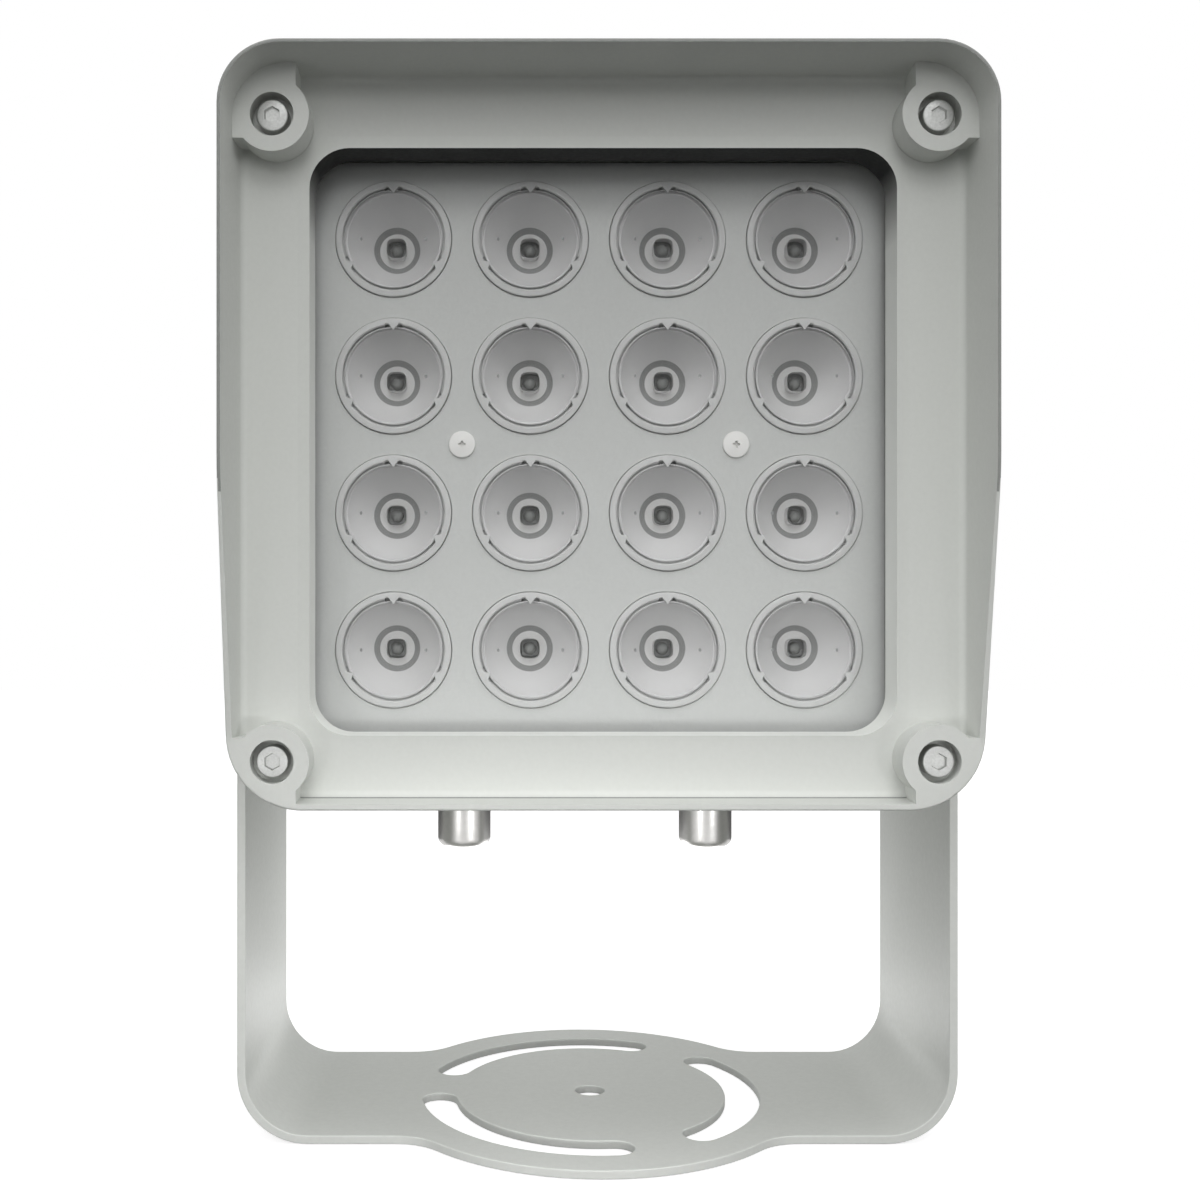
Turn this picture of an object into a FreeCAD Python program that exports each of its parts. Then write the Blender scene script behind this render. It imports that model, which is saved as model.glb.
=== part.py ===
"""Infrared illuminator: a square floodlight head with sixteen optics, tilting in a folded U bracket.

Units are millimetres. The origin is the centre of the bracket's base disc, on its underside.
+Z points up, +X to the right seen from the front, and +Y to the rear, so the light faces -Y.
The head is drawn facing straight ahead.
"""

import FreeCAD, Part
import math
import os

from FreeCAD import Vector


# Bracket: one folded steel sheet
SHEET = 2.5
ARM_GAP = 0.8
STRIP_WIDTH = 76.0
BEND_RADIUS = 20.0
PIVOT_HEIGHT = 199.2
DISC_RADIUS = 63.0
DISC_BLEND = 16.0
SLOT_RING_RADIUS = 47.0
SLOT_WIDTH = 10.5
SLOT_SPAN = 99.0
SLOT_COUNT = 3
FIRST_SLOT_ANGLE = -7.5
CENTRE_HOLE_DIAMETER = 9.0

# Pivots
PIVOT_BOLT_DIAMETER = 8.0
PIVOT_RUNNING_GAP = 0.05
PIVOT_SIDE_GAP = 0.2
PIVOT_HEAD_FLATS = 13.0
PIVOT_HEAD_HEIGHT = 5.3
PIVOT_WASHER_DIAMETER = 17.0
PIVOT_WASHER = 1.6
PIVOT_DISC_DIAMETER = 34.0
PIVOT_DISC = 1.5
PIVOT_BOSS_DIAMETER = 40.0
PIVOT_THREAD_LENGTH = 14.0

# Front cover: bezel, hood and lip in one casting
BEZEL_SIDE = 20.7
BEZEL_END = 20.0
HEAD_CORNER = 16.0
HEAD_LOW_CORNER = 20.0
COVER_WALL = 2.3
HOOD_WALL = 1.0
INNER_ROUND = 2.0
JOINT_PLANE = -39.0
FACE_DEPTH = 22.5
LIP_REACH = 10.0
HOOD_REACH = 12.0
HOOD_SLOPE = 69.0
LIP_STRAIGHT = 19.0
HOOD_BEND = 60.0
LIP_BEND = 12.0
FACE_PLATE = 3.5
BEZEL_DROP = 1.2
WINDOW_MARGIN = 5.25
WINDOW_CORNER = 10.8
WINDOW_RIM = 3.2
WINDOW_RIM_RISE = 0.45
FRAME_WALL = 5.0
INNER_SKIRT = 3.5
SKIRT_GAP = 1.4
EDGE_ROUND = 0.6

# Cover screws, M5 socket heads in counterbores
SCREW_INSET_SIDE = 12.1
SCREW_INSET_END = 14.0
SCREW_DIAMETER = 5.0
SCREW_HEAD_DIAMETER = 8.5
SCREW_HEAD_HEIGHT = 5.0
SCREW_SOCKET = 4.0
SCREW_SOCKET_DEPTH = 2.5
SCREW_CLEARANCE = 0.25
SCREW_SUNK = 0.5
COUNTERBORE_DIAMETER = 11.5
BOSS_DIAMETER = 19.6
REAR_BOSS_DIAMETER = 14.0
BOSS_FILL = 6.3
SCREW_LENGTH = 44.0

# Window and its gasket
GLASS_RECESS = 12.5
GLASS = 3.5
GLASS_OVERLAP = 3.6
GASKET_LEG = 1.0
GASKET_WEB = 1.0
GASKET_GRIP = 1.6

# Optics in a square grid
GRID_COUNT = 4
GRID_PITCH = 38.5
OPTIC_GAP = 0.5
RIM_RADIUS = 16.0
RIM_HOLE_GAP = 0.4
RIM_INNER_RADIUS = 14.3
HOLDER_HEIGHT = 16.0
HOLDER_RIM = 3.6
HOLDER_WALL = 1.2
HOLDER_FOOT_RADIUS = 7.8
HOLDER_SEAT_RADIUS = 13.2
HOLDER_THROAT_RADIUS = 6.0
HOLDER_THROAT = 1.4
LENS_FLANGE = 1.3
LENS_SUNK = 0.4
LENS_FIT = 0.2
LENS_TAIL_RADIUS = 4.8
LENS_WELL_RADIUS = 3.2
LENS_WELL_DEPTH = 4.2
LENS_LIFT = 0.9
CLIP_COUNT = 3
CLIP_WIDTH = 1.8
CLIP_OVERLAP = 1.5

# Lens plate and its two screws
PLATE = 2.0
PLATE_SUNK = 0.8
PLATE_CORNER = 9.0
PLATE_GAP = 0.5
PLATE_SCREW_HEAD_DIAMETER = 7.5
PLATE_SCREW_HEAD = 1.2
PLATE_SCREW_DIAMETER = 3.0
PLATE_SCREW_LENGTH = 9.0
PLATE_SCREW_RECESS = 0.7
PLATE_SCREW_RECESS_SIZE = 2.4
PLATE_SCREW_HOLE_GAP = 0.2
POST_DIAMETER = 7.0

# Light-emitting diode board
BOARD = 1.6
BOARD_GAP = 4.5
BOARD_CORNER = 6.0
POST_HOLE_GAP = 0.5
EMITTER_SIZE = 4.6
EMITTER_BASE = 0.9
EMITTER_DOME_RADIUS = 1.9
BOARD_SCREW_HEAD_DIAMETER = 5.6
BOARD_SCREW_HEAD = 1.8
BOARD_SCREW_DIAMETER = 3.0
BOARD_SCREW_LENGTH = 5.5
BOARD_SCREW_GAP = 0.2

# Rear housing: tub, fins and driver chamber in one casting
TUB_WALL = 3.4
TUB_CORNER = 14.0
FLANGE = 4.0
FLOOR = 4.0
SEAL_GROOVE = 2.6
SEAL_DEPTH = 1.4
SEAL_CORNER = 20.0
CORNER_BOSS_LENGTH = 18.0
FIN = 2.6
FIN_PITCH = 10.4
FIN_REACH = 48.0
FIN_INSET = 8.0
FIN_TAPER = 12.0
FIN_CORNER = 6.0
SIDE_PLATE = 5.0
CHAMBER_WIDTH = 124.0
CHAMBER_HEIGHT = 118.0
CHAMBER_DEPTH = 60.0
CHAMBER_WALL = 3.5
CHAMBER_CORNER = 6.0
CHAMBER_DROP = 36.0

# Rear cover over the driver chamber
REAR_COVER = 3.0
REAR_PANEL = 1.6
REAR_PANEL_INSET = 14.0
REAR_SCREW_INSET = 7.0
REAR_SCREW_DIAMETER = 4.0
REAR_SCREW_HEAD_DIAMETER = 7.0
REAR_SCREW_HEAD = 2.6
REAR_SCREW_SOCKET = 2.5
REAR_SCREW_SOCKET_DEPTH = 1.4
REAR_SCREW_LENGTH = 12.0
REAR_SCREW_GAP = 0.25
REAR_PILLAR_DIAMETER = 9.0
REAR_GASKET = 1.0

# Driver inside the chamber
DRIVER_BOARD = 1.6
DRIVER_WIDTH = 96.0
DRIVER_HEIGHT = 62.0
DRIVER_POST = 5.0
DRIVER_POST_DIAMETER = 6.0
DRIVER_RAISE = 16.0
COIL_RADIUS = 12.0
COIL_CORE_RADIUS = 5.0
COIL_HEIGHT = 14.0
COIL_FLANGE = 2.0
COIL_PLACE_X = -26.0
CAPACITOR_RADIUS = 5.0
CAPACITOR_HEIGHT = 20.0
CAPACITOR_PLACES = (10.0, 24.0)
TERMINAL_WIDTH = 30.0
TERMINAL_HEIGHT = 12.0
TERMINAL_DEPTH = 14.0
TERMINAL_WAYS = 3
TERMINAL_HOLE = 3.6
TERMINAL_GAP = 8.0

# Cable glands
GLAND_SPACING = 80.0
GLAND_BEHIND_FLOOR = 52.0
GLAND_THREAD_DIAMETER = 12.0
GLAND_THREAD_LENGTH = 9.0
GLAND_THREAD_GAP = 0.1
GLAND_BORE = 8.0
GLAND_FLATS = 19.0
GLAND_HEX = 6.0
GLAND_NECK_DIAMETER = 13.0
GLAND_NECK = 13.0
GLAND_NUT_DIAMETER = 17.4
GLAND_NUT = 22.0
GLAND_NUT_START = 2.0
GLAND_NUT_ROUND = 2.8
GLAND_NUT_MOUTH = 10.5
GLAND_NUT_FIT = 0.15
GLAND_SEAL_HOLE = 7.0
GLAND_SEAL_SUNK = 0.6
GLAND_NUT_LIP = 2.4

# Nearer than this is the same place
SAME_PLACE = 1e-6

# A face whose normal has less than this along Y looks to the front
LOOKS_FORWARD = -0.5

# Sizes and places worked out from the sizes above
WINDOW_SIZE = GRID_PITCH * (GRID_COUNT - 1) + 2 * (RIM_RADIUS + WINDOW_MARGIN)
HEAD_WIDTH = WINDOW_SIZE + 2 * BEZEL_SIDE
HEAD_HEIGHT = WINDOW_SIZE + 2 * BEZEL_END
HOOD_STRAIGHT = HEAD_HEIGHT - HOOD_SLOPE - LIP_STRAIGHT
FACE_PLANE = JOINT_PLANE - FACE_DEPTH
LIP_PLANE = FACE_PLANE - LIP_REACH
HOOD_PLANE = LIP_PLANE - HOOD_REACH
HEAD_Z = PIVOT_HEIGHT
HEAD_TOP = HEAD_Z + HEAD_HEIGHT / 2
HEAD_BOTTOM = HEAD_Z - HEAD_HEIGHT / 2
BEZEL_Z = HEAD_Z - BEZEL_DROP
GLASS_FRONT = FACE_PLANE + GLASS_RECESS
GLASS_BACK = GLASS_FRONT + GLASS
LAND_PLANE = GLASS_FRONT - GASKET_LEG
TUB_FRONT = GLASS_BACK + GASKET_LEG
GLASS_SIZE = WINDOW_SIZE + 2 * GLASS_OVERLAP
GLASS_CORNER = WINDOW_CORNER + GLASS_OVERLAP
TUB_INNER = GLASS_SIZE - 2 * GASKET_GRIP
TUB_OUTER = TUB_INNER + 2 * TUB_WALL
SKIRT_INNER = TUB_OUTER + 2 * SKIRT_GAP
SKIRT_OUTER = SKIRT_INNER + 2 * INNER_SKIRT
RIM_FRONT = GLASS_BACK + OPTIC_GAP
BOARD_FRONT = RIM_FRONT + HOLDER_HEIGHT
FLOOR_FRONT = BOARD_FRONT + BOARD
FLOOR_BACK = FLOOR_FRONT + FLOOR
PLATE_FRONT = RIM_FRONT + PLATE_SUNK
PLATE_BACK = PLATE_FRONT + PLATE
PLATE_SIZE = TUB_INNER - 2 * PLATE_GAP
BOARD_SIZE = TUB_INNER - 2 * BOARD_GAP
RIM_HOLE_RADIUS = RIM_RADIUS + RIM_HOLE_GAP
SCREW_PLACES = [
    (side_x * (HEAD_WIDTH / 2 - SCREW_INSET_SIDE), BEZEL_Z + side_z * (HEAD_HEIGHT / 2 - SCREW_INSET_END))
    for side_x in (-1, 1)
    for side_z in (-1, 1)
]
SCREW_HEAD_FRONT = LIP_PLANE + SCREW_SUNK
SCREW_SEAT = SCREW_HEAD_FRONT + SCREW_HEAD_HEIGHT
GRID_OFFSETS = [(index - (GRID_COUNT - 1) / 2) * GRID_PITCH for index in range(GRID_COUNT)]
PLATE_SCREW_PLACES = [(-GRID_PITCH, HEAD_Z), (GRID_PITCH, HEAD_Z)]
BOARD_SCREW_PLACES = [
    (side_x * GRID_PITCH, HEAD_Z + side_z * GRID_PITCH) for side_x in (-1, 1) for side_z in (-1, 1)
]
CHAMBER_BOTTOM = HEAD_Z - CHAMBER_DROP - CHAMBER_HEIGHT / 2
CHAMBER_Z = CHAMBER_BOTTOM + CHAMBER_HEIGHT / 2
CHAMBER_BACK = FLOOR_BACK + CHAMBER_DEPTH
GLAND_Y = FLOOR_BACK + GLAND_BEHIND_FLOOR
ARM_INNER = HEAD_WIDTH / 2 + ARM_GAP
ARM_OUTER = ARM_INNER + SHEET
BOSS_FACE = ARM_INNER - PIVOT_SIDE_GAP - PIVOT_DISC
DRIVER_FRONT = FLOOR_BACK + DRIVER_POST
DRIVER_BACK = DRIVER_FRONT + DRIVER_BOARD
DRIVER_Z = CHAMBER_Z + DRIVER_RAISE


def box(low, high):
    """Block between two opposite corners."""
    size = [high[axis] - low[axis] for axis in range(3)]
    return Part.makeBox(size[0], size[1], size[2], Vector(*low))


def cylinder_x(x_start, x_end, y, z, radius):
    """Round bar along X."""
    return Part.makeCylinder(radius, x_end - x_start, Vector(x_start, y, z), Vector(1, 0, 0))


def cylinder_y(x, z, radius, y_start, y_end):
    """Round bar along Y."""
    return Part.makeCylinder(radius, y_end - y_start, Vector(x, y_start, z), Vector(0, 1, 0))


def cylinder_z(x, y, radius, z_start, z_end):
    """Round bar along Z."""
    return Part.makeCylinder(radius, z_end - z_start, Vector(x, y, z_start), Vector(0, 0, 1))


def rounded_outline(corners, radii):
    """Closed wire through corner points, each rounded by its own radius, where 0 is sharp."""
    count = len(corners)
    entries = []
    exits = []
    middles = []
    for index, corner in enumerate(corners):
        to_last = (corners[index - 1] - corner).normalize()
        to_next = (corners[(index + 1) % count] - corner).normalize()
        half_turn = to_last.getAngle(to_next) / 2
        setback = radii[index] / math.tan(half_turn)
        bisector = (to_last + to_next).normalize()
        centre = corner + bisector * (radii[index] / math.sin(half_turn))
        entries.append(corner + to_last * setback)
        exits.append(corner + to_next * setback)
        middles.append(centre - bisector * radii[index])
    edges = []
    for index in range(count):
        if radii[index] > 0:
            edges.append(Part.Arc(entries[index], middles[index], exits[index]).toShape())
        start = exits[index]
        end = entries[(index + 1) % count]
        if start.distanceToPoint(end) > SAME_PLACE:
            edges.append(Part.LineSegment(start, end).toShape())
    return Part.Wire(edges)


def square_wire(width, height, radius, centre_z, y, low_radius=None):
    """Rounded rectangle facing the front, whose lower corners may have their own radius."""
    half_width = width / 2
    half_height = height / 2
    corners = [
        Vector(-half_width, y, centre_z - half_height),
        Vector(half_width, y, centre_z - half_height),
        Vector(half_width, y, centre_z + half_height),
        Vector(-half_width, y, centre_z + half_height),
    ]
    low = radius if low_radius is None else low_radius
    return rounded_outline(corners, [low, low, radius, radius])


def square_block(width, height, radius, centre_z, y_start, y_end):
    """Rounded rectangular block that runs along Y."""
    face = Part.Face(square_wire(width, height, radius, centre_z, y_start))
    return face.extrude(Vector(0, y_end - y_start, 0))


def head_wire(inset, y):
    """The head's outline, set in on all sides."""
    return square_wire(
        HEAD_WIDTH - 2 * inset, HEAD_HEIGHT - 2 * inset, HEAD_CORNER - inset, HEAD_Z, y,
        HEAD_LOW_CORNER - inset)


def head_block(inset, y_start, y_end):
    """Block along Y in the head's outline, set in on all sides."""
    return Part.Face(head_wire(inset, y_start)).extrude(Vector(0, y_end - y_start, 0))


def square_ring(outer, inner, radius, centre_z, y_start, y_end):
    """Square frame of one wall thickness, with the outside corner radius given."""
    wall = (outer - inner) / 2
    body = square_block(outer, outer, radius, centre_z, y_start, y_end)
    hole = square_block(inner, inner, radius - wall, centre_z, y_start, y_end)
    return body.cut(hole)


def turned(profile, x, z):
    """Solid of revolution about a line along Y, from (radius, y) points."""
    points = [Vector(x + radius, y, z) for radius, y in profile]
    face = Part.Face(Part.makePolygon(points + points[:1]))
    return face.revolve(Vector(x, 0, z), Vector(0, 1, 0), 360)


def turned_upright(profile, x, y):
    """Solid of revolution about a vertical line, from (radius, z) points."""
    points = [Vector(x + radius, y, z) for radius, z in profile]
    face = Part.Face(Part.makePolygon(points + points[:1]))
    return face.revolve(Vector(x, y, 0), Vector(0, 0, 1), 360)


def hexagon(centre, normal, flats, length):
    """Hexagonal bar of one width across flats."""
    radius = flats / math.sqrt(3)
    turn = FreeCAD.Rotation(Vector(0, 0, 1), normal)
    points = []
    for index in range(6):
        angle = math.radians(60 * index)
        arm = Vector(radius * math.cos(angle), radius * math.sin(angle), 0)
        points.append(centre + turn.multVec(arm))
    face = Part.Face(Part.makePolygon(points + points[:1]))
    return face.extrude(normal * length)


def fused(shapes):
    """One solid from several that touch or overlap."""
    return shapes[0].multiFuse(shapes[1:]).removeSplitter()


def arc_slot(centre_angle):
    """Curved slot with round ends, cut through the base disc."""
    half_width = SLOT_WIDTH / 2
    end_turn = math.degrees(half_width / SLOT_RING_RADIUS)
    first = centre_angle - SLOT_SPAN / 2 + end_turn
    last = centre_angle + SLOT_SPAN / 2 - end_turn

    def at(radius, angle):
        turn = math.radians(angle)
        return Vector(radius * math.cos(turn), radius * math.sin(turn), 0)

    inner = SLOT_RING_RADIUS - half_width
    outer = SLOT_RING_RADIUS + half_width
    edges = [
        Part.Arc(at(outer, first), at(outer, centre_angle), at(outer, last)).toShape(),
        Part.Arc(at(outer, last), at(SLOT_RING_RADIUS, last + end_turn), at(inner, last)).toShape(),
        Part.Arc(at(inner, last), at(inner, centre_angle), at(inner, first)).toShape(),
        Part.Arc(at(inner, first), at(SLOT_RING_RADIUS, first - end_turn), at(outer, first)).toShape(),
    ]
    return Part.Face(Part.Wire(edges)).extrude(Vector(0, 0, SHEET))


def base_disc():
    """Round middle of the bracket's base, blended into the straight strip."""
    half_strip = STRIP_WIDTH / 2
    reach = math.sqrt((DISC_RADIUS + DISC_BLEND) ** 2 - (half_strip + DISC_BLEND) ** 2)
    share = DISC_RADIUS / (DISC_RADIUS + DISC_BLEND)
    edges = []
    for side in (-1, 1):
        blend_centre = Vector(reach, side * (half_strip + DISC_BLEND), 0)
        on_disc = blend_centre * share
        on_strip = Vector(reach, side * half_strip, 0)
        middle_way = (on_disc + on_strip) * 0.5 - blend_centre
        blend_middle = blend_centre + middle_way.normalize() * DISC_BLEND
        disc_end = Vector(0, side * DISC_RADIUS, 0)
        disc_middle = (on_disc + disc_end).normalize() * DISC_RADIUS
        for flip in (-1, 1):
            edges.append(Part.Arc(
                Vector(flip * on_strip.x, on_strip.y, 0),
                Vector(flip * blend_middle.x, blend_middle.y, 0),
                Vector(flip * on_disc.x, on_disc.y, 0),
            ).toShape())
            edges.append(Part.Arc(
                Vector(flip * on_disc.x, on_disc.y, 0),
                Vector(flip * disc_middle.x, disc_middle.y, 0),
                disc_end,
            ).toShape())
    for flip in (-1, 1):
        edges.append(Part.LineSegment(
            Vector(flip * reach, -half_strip, 0), Vector(flip * reach, half_strip, 0)).toShape())
    wire = Part.Wire(Part.__sortEdges__(edges))
    return Part.Face(wire).extrude(Vector(0, 0, SHEET))


def make_bracket():
    """U bracket folded from one sheet, with round arm ends and a slotted disc in its base."""
    half_strip = STRIP_WIDTH / 2
    inner_bend = BEND_RADIUS - SHEET
    arm_top = PIVOT_HEIGHT + half_strip
    outside = rounded_outline(
        [
            Vector(-ARM_OUTER, -half_strip, arm_top),
            Vector(-ARM_OUTER, -half_strip, 0),
            Vector(ARM_OUTER, -half_strip, 0),
            Vector(ARM_OUTER, -half_strip, arm_top),
        ],
        [0, BEND_RADIUS, BEND_RADIUS, 0],
    )
    inside = rounded_outline(
        [
            Vector(-ARM_INNER, -half_strip, arm_top),
            Vector(-ARM_INNER, -half_strip, SHEET),
            Vector(ARM_INNER, -half_strip, SHEET),
            Vector(ARM_INNER, -half_strip, arm_top),
        ],
        [0, inner_bend, inner_bend, 0],
    )
    along = Vector(0, STRIP_WIDTH, 0)
    folded = Part.Face(outside).extrude(along).cut(Part.Face(inside).extrude(along))
    side_view = fused([
        box((-ARM_OUTER, -half_strip, 0), (ARM_OUTER, half_strip, PIVOT_HEIGHT)),
        cylinder_x(-ARM_OUTER, ARM_OUTER, 0, PIVOT_HEIGHT, half_strip),
    ])
    bracket = fused([folded.common(side_view), base_disc()])
    hole_radius = PIVOT_BOLT_DIAMETER / 2 + PIVOT_RUNNING_GAP
    cuts = [
        cylinder_x(-ARM_OUTER, ARM_OUTER, 0, PIVOT_HEIGHT, hole_radius),
        cylinder_z(0, 0, CENTRE_HOLE_DIAMETER / 2, 0, SHEET),
    ]
    for index in range(SLOT_COUNT):
        cuts.append(arc_slot(FIRST_SLOT_ANGLE + index * 360 / SLOT_COUNT))
    return bracket.cut(cuts)


def hood_trim():
    """What is cut away below the hood, so that its sides slope back to the low lip."""
    slope_start = HEAD_TOP - HOOD_STRAIGHT
    slope_end = slope_start - HOOD_SLOPE
    beyond = HOOD_PLANE - HOOD_REACH
    x = -HEAD_WIDTH
    outline = rounded_outline(
        [
            Vector(x, HOOD_PLANE, slope_start),
            Vector(x, LIP_PLANE, slope_end),
            Vector(x, LIP_PLANE, HEAD_BOTTOM - HEAD_CORNER),
            Vector(x, beyond, HEAD_BOTTOM - HEAD_CORNER),
            Vector(x, beyond, HEAD_TOP),
            Vector(x, HOOD_PLANE, HEAD_TOP),
        ],
        [HOOD_BEND, LIP_BEND, 0, 0, 0, 0],
    )
    return Part.Face(outline).extrude(Vector(2 * HEAD_WIDTH, 0, 0))


def front_edges(shell):
    """Edges where the shell's outer walls meet its front: hood, slopes and lip."""
    chosen = []
    for edge in shell.Edges:
        fronts = 0
        for face in shell.ancestorsOfType(edge, Part.Face):
            u_first, u_last, v_first, v_last = face.ParameterRange
            normal = face.normalAt((u_first + u_last) / 2, (v_first + v_last) / 2)
            if normal.y < LOOKS_FORWARD:
                fronts += 1
        if fronts == 1:
            chosen.append(edge)
    return chosen


def window_rim():
    """Low rim round the window, which falls away to the bezel."""
    wide = WINDOW_SIZE + 2 * WINDOW_RIM
    foot = square_wire(wide, wide, WINDOW_CORNER + WINDOW_RIM, BEZEL_Z, FACE_PLANE)
    crest = square_wire(
        WINDOW_SIZE, WINDOW_SIZE, WINDOW_CORNER, BEZEL_Z, FACE_PLANE - WINDOW_RIM_RISE)
    return Part.makeLoft([foot, crest], True, True)


def make_front_cover():
    """Cast cover: skirt, bezel, hood, lip, window frame and four screw bosses."""
    shell = head_block(0, HOOD_PLANE, JOINT_PLANE)
    shell = shell.cut(hood_trim())
    shell = shell.makeFillet(EDGE_ROUND, front_edges(shell))
    plate_back = FACE_PLANE + FACE_PLATE
    front_room = Part.makeLoft(
        [head_wire(HOOD_WALL, HOOD_PLANE), head_wire(COVER_WALL, FACE_PLANE)], True, True)
    floor_edges = [
        edge for edge in front_room.Edges
        if min(vertex.Y for vertex in edge.Vertexes) > FACE_PLANE - SAME_PLACE
    ]
    front_room = front_room.makeFillet(INNER_ROUND, floor_edges)
    back_room = head_block(COVER_WALL, plate_back, JOINT_PLANE)
    walls = shell.cut([front_room, back_room])
    frame_outer = WINDOW_SIZE + 2 * FRAME_WALL
    additions = [
        window_rim(),
        square_ring(frame_outer, WINDOW_SIZE, WINDOW_CORNER + FRAME_WALL, BEZEL_Z,
                    plate_back, LAND_PLANE),
        square_ring(SKIRT_OUTER, SKIRT_INNER, SEAL_CORNER, BEZEL_Z, plate_back, JOINT_PLANE),
    ]
    for x, z in SCREW_PLACES:
        out_x = math.copysign(1, x)
        out_z = math.copysign(1, z - HEAD_Z)
        boss = cylinder_y(x, z, BOSS_DIAMETER / 2, LIP_PLANE, plate_back)
        additions.append(boss.common(shell))
        additions.append(cylinder_y(x, z, REAR_BOSS_DIAMETER / 2, plate_back, JOINT_PLANE))
        near = (x - out_x * BOSS_FILL, z - out_z * BOSS_FILL)
        far = (out_x * HEAD_WIDTH / 2, HEAD_Z + out_z * HEAD_HEIGHT / 2)
        corner_fill = box(
            (min(near[0], far[0]), LIP_PLANE, min(near[1], far[1])),
            (max(near[0], far[0]), FACE_PLANE, max(near[1], far[1])),
        )
        additions.append(corner_fill.common(shell))
    cover = fused([walls] + additions)
    cuts = [square_block(WINDOW_SIZE, WINDOW_SIZE, WINDOW_CORNER, BEZEL_Z, LIP_PLANE, JOINT_PLANE)]
    for x, z in SCREW_PLACES:
        cuts.append(cylinder_y(x, z, COUNTERBORE_DIAMETER / 2, LIP_PLANE, SCREW_SEAT))
        cuts.append(cylinder_y(
            x, z, SCREW_DIAMETER / 2 + SCREW_CLEARANCE, SCREW_SEAT, JOINT_PLANE))
    return cover.cut(cuts)


def make_cover_gasket():
    """Rubber cord in the housing's groove, under the cover's inner skirt."""
    middle = (SKIRT_OUTER + SKIRT_INNER) / 2
    corner = SEAL_CORNER - (SKIRT_OUTER - middle) / 2 + SEAL_GROOVE / 2
    return square_ring(middle + SEAL_GROOVE, middle - SEAL_GROOVE, corner, BEZEL_Z,
                       JOINT_PLANE, JOINT_PLANE + SEAL_DEPTH)


def make_window_glass():
    """Toughened glass pane."""
    return square_block(GLASS_SIZE, GLASS_SIZE, GLASS_CORNER, BEZEL_Z, GLASS_FRONT, GLASS_BACK)


def make_window_gasket():
    """Silicone channel that wraps the edge of the glass."""
    outer = GLASS_SIZE + 2 * GASKET_WEB
    body = square_ring(outer, TUB_INNER, GLASS_CORNER + GASKET_WEB, BEZEL_Z, LAND_PLANE, TUB_FRONT)
    return body.cut(make_window_glass())


def make_lens_plate():
    """Flat panel with a round opening for each optic."""
    plate = square_block(PLATE_SIZE, PLATE_SIZE, PLATE_CORNER, BEZEL_Z, PLATE_FRONT, PLATE_BACK)
    cuts = []
    for x, z in optic_places():
        cuts.append(cylinder_y(x, z, RIM_HOLE_RADIUS, PLATE_FRONT, PLATE_BACK))
    for x, z in PLATE_SCREW_PLACES:
        cuts.append(cylinder_y(
            x, z, PLATE_SCREW_DIAMETER / 2 + PLATE_SCREW_HOLE_GAP, PLATE_FRONT, PLATE_BACK))
    return plate.cut(cuts)


def optic_places():
    """Centres of the sixteen optics as (x, z), row by row from the top left."""
    return [(x, HEAD_Z - drop) for drop in GRID_OFFSETS for x in GRID_OFFSETS]


def make_lens(x, z):
    """Clear moulded lens: flange, cone and the well over its emitter."""
    front = RIM_FRONT + LENS_SUNK
    flange_back = front + LENS_FLANGE
    tail = BOARD_FRONT - LENS_LIFT
    return turned(
        [
            (0, front),
            (RIM_INNER_RADIUS - LENS_FIT, front),
            (RIM_INNER_RADIUS - LENS_FIT, flange_back),
            (HOLDER_SEAT_RADIUS - LENS_FIT, flange_back),
            (LENS_TAIL_RADIUS, tail),
            (LENS_WELL_RADIUS, tail),
            (LENS_WELL_RADIUS, tail - LENS_WELL_DEPTH),
            (0, tail - LENS_WELL_DEPTH),
        ],
        x, z,
    )


def make_lens_holder(x, z):
    """Moulded cup that carries one lens, with a rim and three clips over the lens."""
    seat = RIM_FRONT + LENS_SUNK + LENS_FLANGE
    rim_back = RIM_FRONT + HOLDER_RIM
    cup = turned(
        [
            (RIM_INNER_RADIUS, RIM_FRONT),
            (RIM_RADIUS, RIM_FRONT),
            (RIM_RADIUS, rim_back),
            (HOLDER_SEAT_RADIUS + HOLDER_WALL, rim_back),
            (HOLDER_FOOT_RADIUS, BOARD_FRONT),
            (HOLDER_THROAT_RADIUS, BOARD_FRONT),
            (HOLDER_THROAT_RADIUS, BOARD_FRONT - HOLDER_THROAT),
            (HOLDER_SEAT_RADIUS, seat),
            (RIM_INNER_RADIUS, seat),
        ],
        x, z,
    )
    clips = []
    for index in range(CLIP_COUNT):
        clip = box(
            (x - CLIP_WIDTH / 2, RIM_FRONT, z + RIM_INNER_RADIUS - CLIP_OVERLAP),
            (x + CLIP_WIDTH / 2, RIM_FRONT + LENS_SUNK, z + RIM_INNER_RADIUS + LENS_FIT),
        )
        clip.rotate(Vector(x, 0, z), Vector(0, 1, 0), index * 360 / CLIP_COUNT)
        clips.append(clip)
    return fused([cup] + clips)


def make_plate_screws():
    """Two pan-head screws that hold the lens plate on its posts."""
    screws = []
    for x, z in PLATE_SCREW_PLACES:
        head_front = PLATE_FRONT - PLATE_SCREW_HEAD
        screw = fused([
            cylinder_y(x, z, PLATE_SCREW_HEAD_DIAMETER / 2, head_front, PLATE_FRONT),
            cylinder_y(x, z, PLATE_SCREW_DIAMETER / 2, PLATE_FRONT,
                       PLATE_FRONT + PLATE_SCREW_LENGTH),
        ])
        half = PLATE_SCREW_RECESS_SIZE / 2
        slot = PLATE_SCREW_RECESS / 2
        depth = head_front + PLATE_SCREW_RECESS
        cross = [
            box((x - half, head_front, z - slot), (x + half, depth, z + slot)),
            box((x - slot, head_front, z - half), (x + slot, depth, z + half)),
        ]
        screws.append(screw.cut(cross))
    return Part.makeCompound(screws)


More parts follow.
